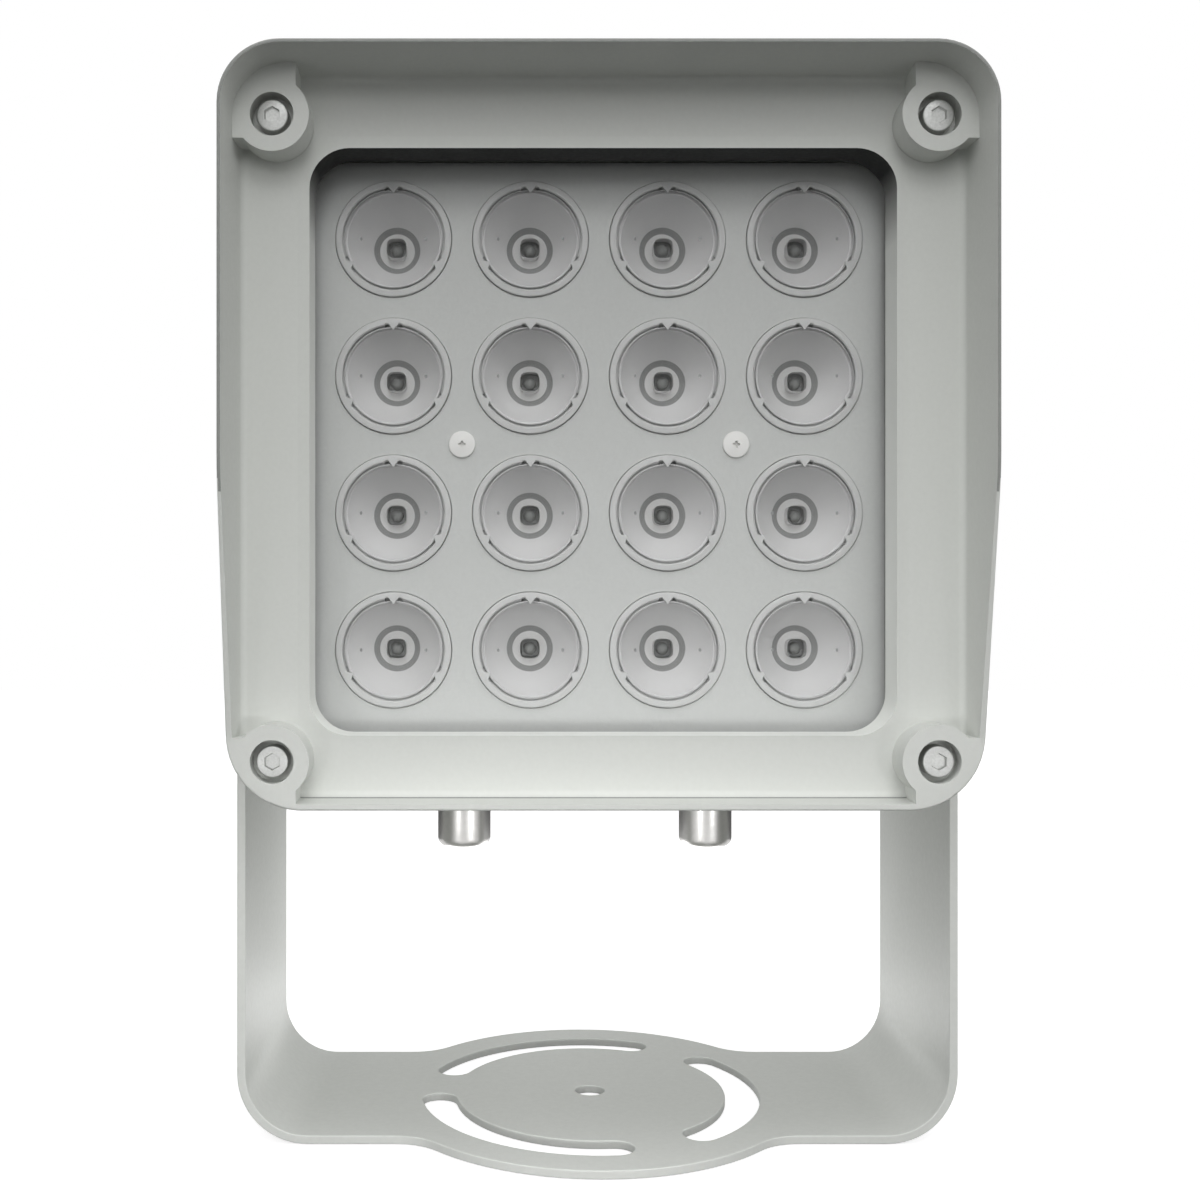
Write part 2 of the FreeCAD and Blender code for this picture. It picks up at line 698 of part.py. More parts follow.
def make_led_board():
    """Aluminium-core board under the optics."""
    board = square_block(BOARD_SIZE, BOARD_SIZE, BOARD_CORNER, HEAD_Z, BOARD_FRONT, FLOOR_FRONT)
    cuts = []
    for x, z in PLATE_SCREW_PLACES:
        cuts.append(cylinder_y(x, z, POST_DIAMETER / 2 + POST_HOLE_GAP, BOARD_FRONT, FLOOR_FRONT))
    for x, z in BOARD_SCREW_PLACES:
        cuts.append(cylinder_y(
            x, z, BOARD_SCREW_DIAMETER / 2 + BOARD_SCREW_GAP, BOARD_FRONT, FLOOR_FRONT))
    return board.cut(cuts)


def make_led_emitters():
    """Sixteen emitter packages on the board, each with a small dome."""
    emitters = []
    half = EMITTER_SIZE / 2
    base_front = BOARD_FRONT - EMITTER_BASE
    for x, z in optic_places():
        base = box((x - half, base_front, z - half), (x + half, BOARD_FRONT, z + half))
        ball = Part.makeSphere(EMITTER_DOME_RADIUS, Vector(x, base_front, z))
        room = box((x - half, base_front - half, z - half), (x + half, base_front, z + half))
        emitters.append(fused([base, ball.common(room)]))
    return Part.makeCompound(emitters)


def make_board_screws():
    """Pan-head screws that press the board on the housing's floor."""
    screws = []
    for x, z in BOARD_SCREW_PLACES:
        screws.append(fused([
            cylinder_y(x, z, BOARD_SCREW_HEAD_DIAMETER / 2,
                       BOARD_FRONT - BOARD_SCREW_HEAD, BOARD_FRONT),
            cylinder_y(x, z, BOARD_SCREW_DIAMETER / 2, BOARD_FRONT,
                       BOARD_FRONT + BOARD_SCREW_LENGTH),
        ]))
    return Part.makeCompound(screws)


def fin_profile(x, thickness):
    """One upright fin, with its ends sloping in towards the rear."""
    low = HEAD_BOTTOM + FIN_INSET
    high = HEAD_TOP - FIN_INSET
    back = FLOOR_BACK + FIN_REACH
    outline = rounded_outline(
        [
            Vector(x - thickness / 2, FLOOR_FRONT, low),
            Vector(x - thickness / 2, back, low + FIN_TAPER),
            Vector(x - thickness / 2, back, high - FIN_TAPER),
            Vector(x - thickness / 2, FLOOR_FRONT, high),
        ],
        [0, FIN_CORNER, FIN_CORNER, 0],
    )
    return Part.Face(outline).extrude(Vector(thickness, 0, 0))


def rear_screw_places():
    """Centres of the rear cover's screws as (x, z)."""
    half_width = CHAMBER_WIDTH / 2 - REAR_SCREW_INSET
    half_height = CHAMBER_HEIGHT / 2 - REAR_SCREW_INSET
    return [
        (side_x * half_width, CHAMBER_Z + side_z * half_height)
        for side_x in (-1, 1)
        for side_z in (-1, 1)
    ]


def driver_post_places():
    """Centres of the posts that carry the driver board as (x, z)."""
    half_width = DRIVER_WIDTH / 2 - DRIVER_POST_DIAMETER
    half_height = DRIVER_HEIGHT / 2 - DRIVER_POST_DIAMETER
    return [
        (side_x * half_width, DRIVER_Z + side_z * half_height)
        for side_x in (-1, 1)
        for side_z in (-1, 1)
    ]


def make_rear_housing():
    """Cast housing: tub for the optics, fins, driver chamber and the two pivot bosses."""
    solids = [
        square_ring(TUB_OUTER, TUB_INNER, TUB_CORNER, BEZEL_Z, TUB_FRONT, FLOOR_FRONT),
        square_block(TUB_OUTER, TUB_OUTER, TUB_CORNER, BEZEL_Z, FLOOR_FRONT, FLOOR_BACK),
    ]
    flange = head_block(0, JOINT_PLANE, JOINT_PLANE + FLANGE)
    solids.append(flange.cut(square_block(
        TUB_INNER, TUB_INNER, TUB_CORNER - TUB_WALL, BEZEL_Z, JOINT_PLANE, JOINT_PLANE + FLANGE)))
    for x, z in SCREW_PLACES:
        solids.append(cylinder_y(
            x, z, REAR_BOSS_DIAMETER / 2, JOINT_PLANE, JOINT_PLANE + CORNER_BOSS_LENGTH))
    side_x = TUB_OUTER / 2 - SIDE_PLATE / 2
    fin_room = side_x - SIDE_PLATE / 2
    fins_each_side = int(fin_room / FIN_PITCH)
    for index in range(-fins_each_side, fins_each_side + 1):
        solids.append(fin_profile(index * FIN_PITCH, FIN))
    for side in (-1, 1):
        solids.append(fin_profile(side * side_x, SIDE_PLATE))
        start = side * fin_room
        end = side * BOSS_FACE
        solids.append(cylinder_x(
            min(start, end), max(start, end), 0, PIVOT_HEIGHT, PIVOT_BOSS_DIAMETER / 2))
    for x, z in PLATE_SCREW_PLACES:
        solids.append(cylinder_y(x, z, POST_DIAMETER / 2, PLATE_BACK, FLOOR_FRONT))
    chamber = square_block(
        CHAMBER_WIDTH, CHAMBER_HEIGHT, CHAMBER_CORNER, CHAMBER_Z, FLOOR_BACK, CHAMBER_BACK)
    housing = fused(solids + [chamber])
    hollow = square_block(
        CHAMBER_WIDTH - 2 * CHAMBER_WALL, CHAMBER_HEIGHT - 2 * CHAMBER_WALL,
        CHAMBER_CORNER - CHAMBER_WALL, CHAMBER_Z, FLOOR_BACK, CHAMBER_BACK)
    housing = housing.cut(hollow)
    pillars = []
    for x, z in rear_screw_places():
        pillars.append(cylinder_y(x, z, REAR_PILLAR_DIAMETER / 2, FLOOR_BACK, CHAMBER_BACK))
    for x, z in driver_post_places():
        pillars.append(cylinder_y(x, z, DRIVER_POST_DIAMETER / 2, FLOOR_BACK, DRIVER_FRONT))
    housing = fused([housing] + pillars)
    cuts = [make_cover_gasket()]
    for x, z in SCREW_PLACES:
        depth = SCREW_SEAT + SCREW_LENGTH
        cuts.append(cylinder_y(x, z, SCREW_DIAMETER / 2, JOINT_PLANE, depth))
    for x, z in PLATE_SCREW_PLACES:
        cuts.append(cylinder_y(
            x, z, PLATE_SCREW_DIAMETER / 2, PLATE_BACK, PLATE_FRONT + PLATE_SCREW_LENGTH))
    for x, z in BOARD_SCREW_PLACES:
        cuts.append(cylinder_y(
            x, z, BOARD_SCREW_DIAMETER / 2, FLOOR_FRONT, BOARD_FRONT + BOARD_SCREW_LENGTH))
    for x, z in rear_screw_places():
        tip = CHAMBER_BACK + REAR_GASKET + REAR_COVER - REAR_SCREW_LENGTH
        cuts.append(cylinder_y(x, z, REAR_SCREW_DIAMETER / 2, tip, CHAMBER_BACK))
    for side in (-1, 1):
        start = side * (BOSS_FACE - PIVOT_THREAD_LENGTH)
        end = side * BOSS_FACE
        cuts.append(cylinder_x(
            min(start, end), max(start, end), 0, PIVOT_HEIGHT, PIVOT_BOLT_DIAMETER / 2))
        cuts.append(cylinder_z(
            side * GLAND_SPACING / 2, GLAND_Y, GLAND_THREAD_DIAMETER / 2 + GLAND_THREAD_GAP,
            CHAMBER_BOTTOM, CHAMBER_BOTTOM + CHAMBER_WALL))
    return housing.cut(cuts)


def socket_screw(x, z, seat, facing, sizes):
    """Socket-head screw along Y. facing is -1 where the head looks to the front."""
    head_diameter, head_height, socket, socket_depth, diameter, length = sizes
    head_face = seat + facing * head_height
    tip = seat - facing * length
    screw = fused([
        cylinder_y(x, z, head_diameter / 2, min(seat, head_face), max(seat, head_face)),
        cylinder_y(x, z, diameter / 2, min(seat, tip), max(seat, tip)),
    ])
    recess = hexagon(Vector(x, head_face, z), Vector(0, -facing, 0), socket, socket_depth)
    return screw.cut(recess)


def make_cover_screws():
    """Four socket-head screws through the cover's corners."""
    sizes = (SCREW_HEAD_DIAMETER, SCREW_HEAD_HEIGHT, SCREW_SOCKET, SCREW_SOCKET_DEPTH,
             SCREW_DIAMETER, SCREW_LENGTH)
    return Part.makeCompound([socket_screw(x, z, SCREW_SEAT, -1, sizes) for x, z in SCREW_PLACES])


def make_rear_gasket():
    """Flat gasket between the chamber's rim and its cover."""
    ring = square_block(CHAMBER_WIDTH, CHAMBER_HEIGHT, CHAMBER_CORNER, CHAMBER_Z,
                        CHAMBER_BACK, CHAMBER_BACK + REAR_GASKET)
    hollow = square_block(
        CHAMBER_WIDTH - 2 * CHAMBER_WALL, CHAMBER_HEIGHT - 2 * CHAMBER_WALL,
        CHAMBER_CORNER - CHAMBER_WALL, CHAMBER_Z, CHAMBER_BACK, CHAMBER_BACK + REAR_GASKET)
    eyes = []
    holes = []
    for x, z in rear_screw_places():
        eyes.append(cylinder_y(
            x, z, REAR_PILLAR_DIAMETER / 2, CHAMBER_BACK, CHAMBER_BACK + REAR_GASKET))
        holes.append(cylinder_y(
            x, z, REAR_SCREW_DIAMETER / 2 + REAR_SCREW_GAP, CHAMBER_BACK,
            CHAMBER_BACK + REAR_GASKET))
    return fused([ring.cut(hollow)] + eyes).cut(holes)


def make_rear_cover():
    """Lid of the driver chamber, with a raised middle panel."""
    front = CHAMBER_BACK + REAR_GASKET
    back = front + REAR_COVER
    lid = square_block(CHAMBER_WIDTH, CHAMBER_HEIGHT, CHAMBER_CORNER, CHAMBER_Z, front, back)
    raised = square_block(
        CHAMBER_WIDTH - 2 * REAR_PANEL_INSET, CHAMBER_HEIGHT - 2 * REAR_PANEL_INSET,
        CHAMBER_CORNER, CHAMBER_Z, back, back + REAR_PANEL)
    holes = []
    for x, z in rear_screw_places():
        holes.append(cylinder_y(x, z, REAR_SCREW_DIAMETER / 2 + REAR_SCREW_GAP, front, back))
    return fused([lid, raised]).cut(holes)


def make_rear_screws():
    """Four socket-head screws that hold the rear cover."""
    sizes = (REAR_SCREW_HEAD_DIAMETER, REAR_SCREW_HEAD, REAR_SCREW_SOCKET,
             REAR_SCREW_SOCKET_DEPTH, REAR_SCREW_DIAMETER, REAR_SCREW_LENGTH)
    seat = CHAMBER_BACK + REAR_GASKET + REAR_COVER
    return Part.makeCompound([socket_screw(x, z, seat, 1, sizes) for x, z in rear_screw_places()])


def make_driver_board():
    """Circuit board of the constant-current driver."""
    return box((-DRIVER_WIDTH / 2, DRIVER_FRONT, DRIVER_Z - DRIVER_HEIGHT / 2),
               (DRIVER_WIDTH / 2, DRIVER_BACK, DRIVER_Z + DRIVER_HEIGHT / 2))


def make_driver_coil():
    """Wound choke: a bobbin with a wider winding between two flanges."""
    top = DRIVER_BACK + COIL_HEIGHT
    return turned(
        [
            (COIL_CORE_RADIUS / 2, DRIVER_BACK),
            (COIL_RADIUS, DRIVER_BACK),
            (COIL_RADIUS, DRIVER_BACK + COIL_FLANGE),
            (COIL_RADIUS - COIL_FLANGE, DRIVER_BACK + COIL_FLANGE),
            (COIL_RADIUS - COIL_FLANGE, top - COIL_FLANGE),
            (COIL_RADIUS, top - COIL_FLANGE),
            (COIL_RADIUS, top),
            (COIL_CORE_RADIUS / 2, top),
        ],
        COIL_PLACE_X, DRIVER_Z,
    )


def make_driver_capacitors():
    """Upright electrolytic capacitors on the driver board."""
    return Part.makeCompound([
        cylinder_y(x, DRIVER_Z, CAPACITOR_RADIUS, DRIVER_BACK, DRIVER_BACK + CAPACITOR_HEIGHT)
        for x in CAPACITOR_PLACES
    ])


def make_terminal_block():
    """Terminal block for the supply leads, on the chamber's floor below the driver."""
    top = DRIVER_Z - DRIVER_HEIGHT / 2 - TERMINAL_GAP
    block = box((-TERMINAL_WIDTH / 2, FLOOR_BACK, top - TERMINAL_HEIGHT),
                (TERMINAL_WIDTH / 2, FLOOR_BACK + TERMINAL_DEPTH, top))
    way = TERMINAL_WIDTH / TERMINAL_WAYS
    holes = []
    for index in range(TERMINAL_WAYS):
        x = (index - (TERMINAL_WAYS - 1) / 2) * way
        holes.append(cylinder_z(x, FLOOR_BACK + TERMINAL_DEPTH / 2, TERMINAL_HOLE / 2,
                                top - TERMINAL_HEIGHT, top - TERMINAL_HEIGHT / 2))
    return block.cut(holes)


def make_gland_body(x):
    """Gland body: thread into the housing, hexagon and hollow neck."""
    hex_bottom = CHAMBER_BOTTOM - GLAND_HEX
    body = fused([
        cylinder_z(x, GLAND_Y, GLAND_THREAD_DIAMETER / 2, CHAMBER_BOTTOM,
                   CHAMBER_BOTTOM + GLAND_THREAD_LENGTH),
        hexagon(Vector(x, GLAND_Y, hex_bottom), Vector(0, 0, 1), GLAND_FLATS, GLAND_HEX),
        cylinder_z(x, GLAND_Y, GLAND_NECK_DIAMETER / 2, hex_bottom - GLAND_NECK, hex_bottom),
    ])
    bore = cylinder_z(x, GLAND_Y, GLAND_BORE / 2, hex_bottom - GLAND_NECK,
                      CHAMBER_BOTTOM + GLAND_THREAD_LENGTH)
    return body.cut(bore)


def make_gland_nut(x):
    """Round clamping nut with a rounded lower edge."""
    top = CHAMBER_BOTTOM - GLAND_HEX - GLAND_NUT_START
    bottom = top - GLAND_NUT
    outer = Part.makeCylinder(GLAND_NUT_DIAMETER / 2, GLAND_NUT, Vector(x, GLAND_Y, bottom))
    low_edges = [edge for edge in outer.Edges if abs(edge.CenterOfMass.z - bottom) < SAME_PLACE]
    nut = outer.makeFillet(GLAND_NUT_ROUND, low_edges)
    bore = cylinder_z(x, GLAND_Y, GLAND_NECK_DIAMETER / 2 + GLAND_NUT_FIT,
                      bottom + GLAND_NUT_LIP, top)
    mouth = cylinder_z(x, GLAND_Y, GLAND_NUT_MOUTH / 2, bottom, bottom + GLAND_NUT_LIP)
    return nut.cut([bore, mouth])


def make_gland_seal(x):
    """Rubber sleeve that closes on the cable."""
    neck_end = CHAMBER_BOTTOM - GLAND_HEX - GLAND_NECK
    nut_bottom = CHAMBER_BOTTOM - GLAND_HEX - GLAND_NUT_START - GLAND_NUT
    wide = GLAND_NECK_DIAMETER / 2
    narrow = GLAND_NUT_MOUTH / 2 - GLAND_NUT_FIT
    hole = GLAND_SEAL_HOLE / 2
    return turned_upright(
        [
            (hole, neck_end),
            (wide, neck_end),
            (wide, nut_bottom + GLAND_NUT_LIP),
            (narrow, nut_bottom + GLAND_NUT_LIP),
            (narrow, nut_bottom + GLAND_SEAL_SUNK),
            (hole, nut_bottom + GLAND_SEAL_SUNK),
        ],
        x, GLAND_Y,
    )


def make_pivot_bolts():
    """Hexagon bolts that the head turns on."""
    bolts = []
    outside = ARM_OUTER + PIVOT_SIDE_GAP + PIVOT_WASHER
    inside = BOSS_FACE - PIVOT_THREAD_LENGTH
    for side in (-1, 1):
        start = side * inside
        end = side * outside
        shank = cylinder_x(
            min(start, end), max(start, end), 0, PIVOT_HEIGHT, PIVOT_BOLT_DIAMETER / 2)
        head = hexagon(Vector(end, 0, PIVOT_HEIGHT), Vector(side, 0, 0),
                       PIVOT_HEAD_FLATS, PIVOT_HEAD_HEIGHT)
        bolts.append(fused([shank, head]))
    return Part.makeCompound(bolts)


def pivot_rings(inner_face, thickness, diameter):
    """A pair of plain rings round the two pivot bolts."""
    rings = []
    for side in (-1, 1):
        start = side * inner_face
        end = side * (inner_face + thickness)
        low = min(start, end)
        high = max(start, end)
        ring = cylinder_x(low, high, 0, PIVOT_HEIGHT, diameter / 2)
        hole = cylinder_x(
            low, high, 0, PIVOT_HEIGHT, PIVOT_BOLT_DIAMETER / 2 + PIVOT_RUNNING_GAP)
        rings.append(ring.cut(hole))
    return Part.makeCompound(rings)


def make_pivot_washers():
    """Washers under the bolt heads."""
    return pivot_rings(ARM_OUTER + PIVOT_SIDE_GAP, PIVOT_WASHER, PIVOT_WASHER_DIAMETER)


def make_pivot_discs():
    """Friction discs between the housing's bosses and the arms."""
    return pivot_rings(BOSS_FACE, PIVOT_DISC, PIVOT_DISC_DIAMETER)


def build_parts():
    """Every sub-part by its name."""
    parts = {
        "bracket": make_bracket(),
        "front_cover": make_front_cover(),
        "cover_gasket": make_cover_gasket(),
        "window_glass": make_window_glass(),
        "window_gasket": make_window_gasket(),
        "lens_plate": make_lens_plate(),
        "plate_screws": make_plate_screws(),
        "led_board": make_led_board(),
        "led_emitters": make_led_emitters(),
        "board_screws": make_board_screws(),
        "rear_housing": make_rear_housing(),
        "cover_screws": make_cover_screws(),
        "rear_gasket": make_rear_gasket(),
        "rear_cover": make_rear_cover(),
        "rear_screws": make_rear_screws(),
        "driver_board": make_driver_board(),
        "driver_coil": make_driver_coil(),
        "driver_capacitors": make_driver_capacitors(),
        "terminal_block": make_terminal_block(),
        "pivot_bolts": make_pivot_bolts(),
        "pivot_washers": make_pivot_washers(),
        "pivot_discs": make_pivot_discs(),
    }
    for name, side in (("left", -1), ("right", 1)):
        x = side * GLAND_SPACING / 2
        parts["gland_body_" + name] = make_gland_body(x)
        parts["gland_nut_" + name] = make_gland_nut(x)
        parts["gland_seal_" + name] = make_gland_seal(x)
    for index, (x, z) in enumerate(optic_places(), start=1):
        parts["lens_%02d" % index] = make_lens(x, z)
        parts["lens_holder_%02d" % index] = make_lens_holder(x, z)
    return parts


def main():
    """Writes one STEP file for each sub-part."""
    os.makedirs("parts", exist_ok=True)
    for name, shape in build_parts().items():
        if not shape.isValid():
            print("not valid:", name)
        shape.exportStep("parts/" + name + ".step")


main()
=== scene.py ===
"""Looks of the infrared illuminator: finishes, moulded optics, screws, glands and the studio.

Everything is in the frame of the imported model: +X to the right seen from the front, +Y to the
rear, +Z up. Sizes in this file are in millimetres and become metres where a mesh is written.
"""

import logging
import math
from dataclasses import dataclass
from enum import Enum, IntEnum

import bmesh
import bpy
import numpy as np
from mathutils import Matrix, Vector


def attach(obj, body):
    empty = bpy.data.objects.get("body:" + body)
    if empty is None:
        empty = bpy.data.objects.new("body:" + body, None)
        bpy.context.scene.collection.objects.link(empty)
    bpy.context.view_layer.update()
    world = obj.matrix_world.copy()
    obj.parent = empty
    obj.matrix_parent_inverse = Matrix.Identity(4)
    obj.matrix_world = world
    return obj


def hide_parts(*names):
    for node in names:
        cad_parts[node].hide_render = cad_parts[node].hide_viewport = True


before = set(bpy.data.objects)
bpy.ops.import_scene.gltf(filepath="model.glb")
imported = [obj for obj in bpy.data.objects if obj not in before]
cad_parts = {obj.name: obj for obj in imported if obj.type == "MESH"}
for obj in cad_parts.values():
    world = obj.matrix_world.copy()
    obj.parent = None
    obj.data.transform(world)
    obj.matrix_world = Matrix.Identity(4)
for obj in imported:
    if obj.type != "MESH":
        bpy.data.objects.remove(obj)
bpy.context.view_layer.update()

logging.basicConfig(level=logging.INFO, format="%(message)s")
LOG = logging.getLogger("illuminator")

MM = 0.001

# Points nearer than this, in metres, are one point
MERGE_DISTANCE = 2e-6

# Stands in for zero under a fraction
NEARLY_ZERO = 1e-3

# Neighbouring faces that turn by less than this, in degrees, are one flat face
FLAT_ANGLE = 0.2

# An edge that turns by more than this, in degrees, stays crisp
CRISP_ANGLE = 32.0

# An edge that turns by more than this, in degrees, gets a real rounding, of so many faces
ROUNDED_ANGLE = 40.0
ROUNDING_FACES = 2

# Turns in degrees
QUARTER_TURN = 90
FULL_TURN = 360

HEXAGON_SIDES = 6

Pair = tuple[float, float]
Triple = tuple[float, float, float]

# The sRGB curve: a straight foot up to the toe, and above it a power of the shifted value
SRGB_FULL = 255
SRGB_TOE = 0.04045
SRGB_FOOT = 12.92
SRGB_SHIFT = 0.055
SRGB_POWER = 2.4

# The part of the noise's range that nearly all of it lies in
NOISE_LOW = 0.3
NOISE_HIGH = 0.7

# How often the noise adds a finer layer to itself
NOISE_LAYERS = 3.0

# The power of the flatness of a look that a mirror share grows with
MIRROR_POWER = 5.0

# Numbers of the mix node's sockets for two colours, for two plain values and for the mixed colour
COLOUR_INPUTS = (6, 7)
VALUE_INPUTS = (2, 3)
COLOUR_OUTPUT = 2


class Body(Enum):
    """The two bodies that a piece can ride on."""

    BRACKET = "bracket"
    HEAD = "head"


class Line(Enum):
    """The direction that a turned piece runs in, with the axes of its length, first and second arm."""

    ACROSS = (0, 1, 2)
    DEEP = (1, 0, 2)
    UPRIGHT = (2, 0, 1)


class Recess(Enum):
    """What the driver fits in a screw's head."""

    HEXAGON = "hexagon"
    CROSS = "cross"


class CoverFace(IntEnum):
    """Number of the finish that a face of the front cover has."""

    PAINT = 0
    # The walls of the window, which take painted shade
    WALL = 1
    # A darker hood edge, and a painted shade line in the lip's corner
    EDGE_AND_CREASE_SHADE = 2


class LensFace(IntEnum):
    """Number of the finish that a face of a lens has."""

    CLEAR = 0
    CONE = 1
    # Painted shade on the lens's outer wall and emitter ring, and the moulding marks' colour
    DARK = 2
    FROSTED = 3


def linear(hex_code: str) -> tuple[float, float, float, float]:
    """Turns an sRGB hex colour to the linear colour that a shader takes.

    Args:
        hex_code: Colour as #RRGGBB.

    Returns:
        Red, green, blue and an alpha of 1.
    """
    values = np.array([int(hex_code[start:start + 2], 16) for start in (1, 3, 5)]) / SRGB_FULL
    bent = ((values + SRGB_SHIFT) / (1 + SRGB_SHIFT)) ** SRGB_POWER
    straight = values / SRGB_FOOT
    red, green, blue = np.where(values <= SRGB_TOE, straight, bent).tolist()
    return red, green, blue, 1.0


def add_node(
    tree: bpy.types.NodeTree, kind: str, inputs: dict | None = None, **settings: object
) -> bpy.types.Node:
    """Adds one node with its settings, its input values and its links.

    Args:
        tree: Node tree of a material or of the world.
        kind: Blender's name of the node type.
        inputs: Input name or number to a value, or to the output socket that feeds it.
        settings: Properties of the node itself.

    Returns:
        The new node.
    """
    node = tree.nodes.new(kind)
    for name, value in settings.items():
        setattr(node, name, value)
    for name, value in (inputs or {}).items():
        if isinstance(value, bpy.types.NodeSocket):
            tree.links.new(value, node.inputs[name])
        else:
            node.inputs[name].default_value = value
    return node


def empty_material(name: str) -> bpy.types.Material:
    """New material whose node tree holds nothing.

    Args:
        name: Name of the material.

    Returns:
        The new material.
    """
    material = bpy.data.materials.new(name)
    material.use_nodes = True
    material.node_tree.nodes.clear()
    return material


@dataclass(frozen=True)
class Surface:
    """A real material, named for what it is and how it was made."""

    name: str

    def material(self) -> bpy.types.Material:
        """The Blender material of this surface, built once."""
        return bpy.data.materials.get(self.name) or self.build()

    def build(self) -> bpy.types.Material:
        """Builds the material, which each kind of surface does in its own way."""
        raise NotImplementedError


@dataclass(frozen=True)
class Finish(Surface):
    """A surface that can't be seen through, with its grain.

    The grain is soft noise on Object coordinates. It moves the colour between two near shades,
    the gloss up and down a little, and the surface by its height. A finish with a fade goes from
    its colour at the first height to its shade at the second instead, both in millimetres.
    """

    colour: str
    shade: str
    roughness: float
    grain: float
    grain_height: float
    metallic: float = 0.0
    ior: float = 1.5
    gloss_spread: float = 0.05
    shine: float = 0.5
    stretch: Triple = (1.0, 1.0, 1.0)
    fade: Pair | None = None

    def build(self) -> bpy.types.Material:
        """Builds the shader with its grain.

        Returns:
            The new material.
        """
        material = empty_material(self.name)
        tree = material.node_tree
        place = add_node(tree, "ShaderNodeTexCoord")
        turned_place = add_node(
            tree, "ShaderNodeMapping", {"Vector": place.outputs["Object"], "Scale": self.stretch})
        grain = add_node(tree, "ShaderNodeTexNoise", {
            "Vector": turned_place.outputs["Vector"],
            "Scale": 1 / (self.grain * MM),
            "Detail": NOISE_LAYERS,
        })
        share = add_node(tree, "ShaderNodeMapRange", {
            "Value": grain.outputs["Fac"], "From Min": NOISE_LOW, "From Max": NOISE_HIGH})
        if self.fade:
            height = add_node(tree, "ShaderNodeSeparateXYZ", {0: place.outputs["Object"]})
            share = add_node(tree, "ShaderNodeMapRange", {
                "Value": height.outputs["Z"],
                "From Min": self.fade[0] * MM,
                "From Max": self.fade[1] * MM,
            })
        colour = add_node(tree, "ShaderNodeMix", {
            "Factor": share.outputs["Result"],
            COLOUR_INPUTS[0]: linear(self.colour),
            COLOUR_INPUTS[1]: linear(self.shade),
        }, data_type="RGBA")
        gloss = add_node(tree, "ShaderNodeMapRange", {
            "Value": grain.outputs["Fac"],
            "From Min": NOISE_LOW,
            "From Max": NOISE_HIGH,
            "To Min": self.roughness - self.gloss_spread,
            "To Max": self.roughness + self.gloss_spread,
        })
        relief = add_node(tree, "ShaderNodeBump", {
            "Height": grain.outputs["Fac"], "Distance": self.grain_height * MM})
        shader = add_node(tree, "ShaderNodeBsdfPrincipled", {
            "Base Color": colour.outputs[COLOUR_OUTPUT],
            "Roughness": gloss.outputs["Result"],
            "Normal": relief.outputs["Normal"],
            "Metallic": self.metallic,
            "Specular IOR Level": self.shine,
        })
        if not self.metallic:
            shader.inputs["IOR"].default_value = self.ior
        add_node(tree, "ShaderNodeOutputMaterial", {"Surface": shader.outputs["BSDF"]})
        return material


@dataclass(frozen=True)
class ClearFinish(Surface):
    """A clear material that shows what lies behind it unbent, with a mirror share at its face.

    The share grows from its value head-on to 1 at a grazing look, with the fifth power of how
    flat the look is.
    """

    tint: str
    roughness: float
    mirror_share: float

    def build(self) -> bpy.types.Material:
        """Builds a see-through shader with its mirror share.

        Returns:
            The new material.
        """
        material = empty_material(self.name)
        tree = material.node_tree
        flatness = add_node(tree, "ShaderNodeLayerWeight")
        power = add_node(tree, "ShaderNodeMath", {
            0: flatness.outputs["Facing"], 1: MIRROR_POWER}, operation="POWER")
        share = add_node(tree, "ShaderNodeMapRange", {
            "Value": power.outputs[0], "To Min": self.mirror_share})
        through = add_node(tree, "ShaderNodeBsdfTransparent", {"Color": linear(self.tint)})
        mirror = add_node(tree, "ShaderNodeBsdfAnisotropic", {"Roughness": self.roughness})
        both = add_node(tree, "ShaderNodeMixShader", {
            0: share.outputs["Result"],
            1: through.outputs["BSDF"],
            2: mirror.outputs["BSDF"],
        })
        add_node(tree, "ShaderNodeOutputMaterial", {"Surface": both.outputs["Shader"]})
        return material


# Polyester powder coat on die-cast aluminium: matt light grey with an even orange peel. The peel of
# such a coat is about 0.6 mm from crest to crest and is drawn at 1.2 mm, as coarse as it needs to show.
CAST_PAINT = Finish("powder_coat_on_casting", "#CCCECA", "#CACCC8", 0.55, 1.2, 0.006, shine=0.35)

# The same coat on the walls of the window, with painted shade: near black at the window's top, fading
# down its upper corners to painted light lower down, where the walls are lighter than the coat.
WINDOW_WALL_PAINTED_SHADE = Finish(
    "window_wall_painted_shade", "#E2E4E0", "#1C1D1C", 0.7, 1.2, 0.012, shine=0.25,
    fade=(252.0, 272.0))

# A darker grey along the thin front edge of the hood, and painted shade as a fine dark line in the
# corner of the lip.
DARK_EDGE_AND_CREASE_SHADE = Finish("dark_edge_and_painted_crease_shade", "#8F918E", "#8A8C89", 0.6, 1.2, 0.008, shine=0.25)

# The same coat on folded sheet steel, a little smoother because the sheet under it is rolled, and
# painted a little lighter than on the castings, as painted light for the arms and base.
SHEET_PAINT_LIGHTENED = Finish("powder_coat_on_sheet_painted_lighter", "#D1D3CF", "#CED0CC", 0.5, 1.6, 0.010, shine=0.35)

# Moulded polycarbonate panel with a fine spark-eroded face: even, matt and faintly green.
PANEL_PLASTIC = Finish(
    "moulded_panel_polycarbonate", "#CACCCA", "#C5C7C5", 0.55, 0.8, 0.006, shine=0.3)

# Moulded polycarbonate cups from a polished tool: as grey as the panel, and smoother.
HOLDER_PLASTIC = Finish("moulded_cup_polycarbonate", "#CACBCA", "#C6C7C6", 0.4, 0.8, 0.004, shine=0.35)

# Turned nylon screw: warm white with the dull gloss of a machined plastic.
WHITE_NYLON = Finish("white_nylon", "#EFF0EC", "#E9EAE6", 0.45, 0.6, 0.004, ior=1.53, shine=0.4)

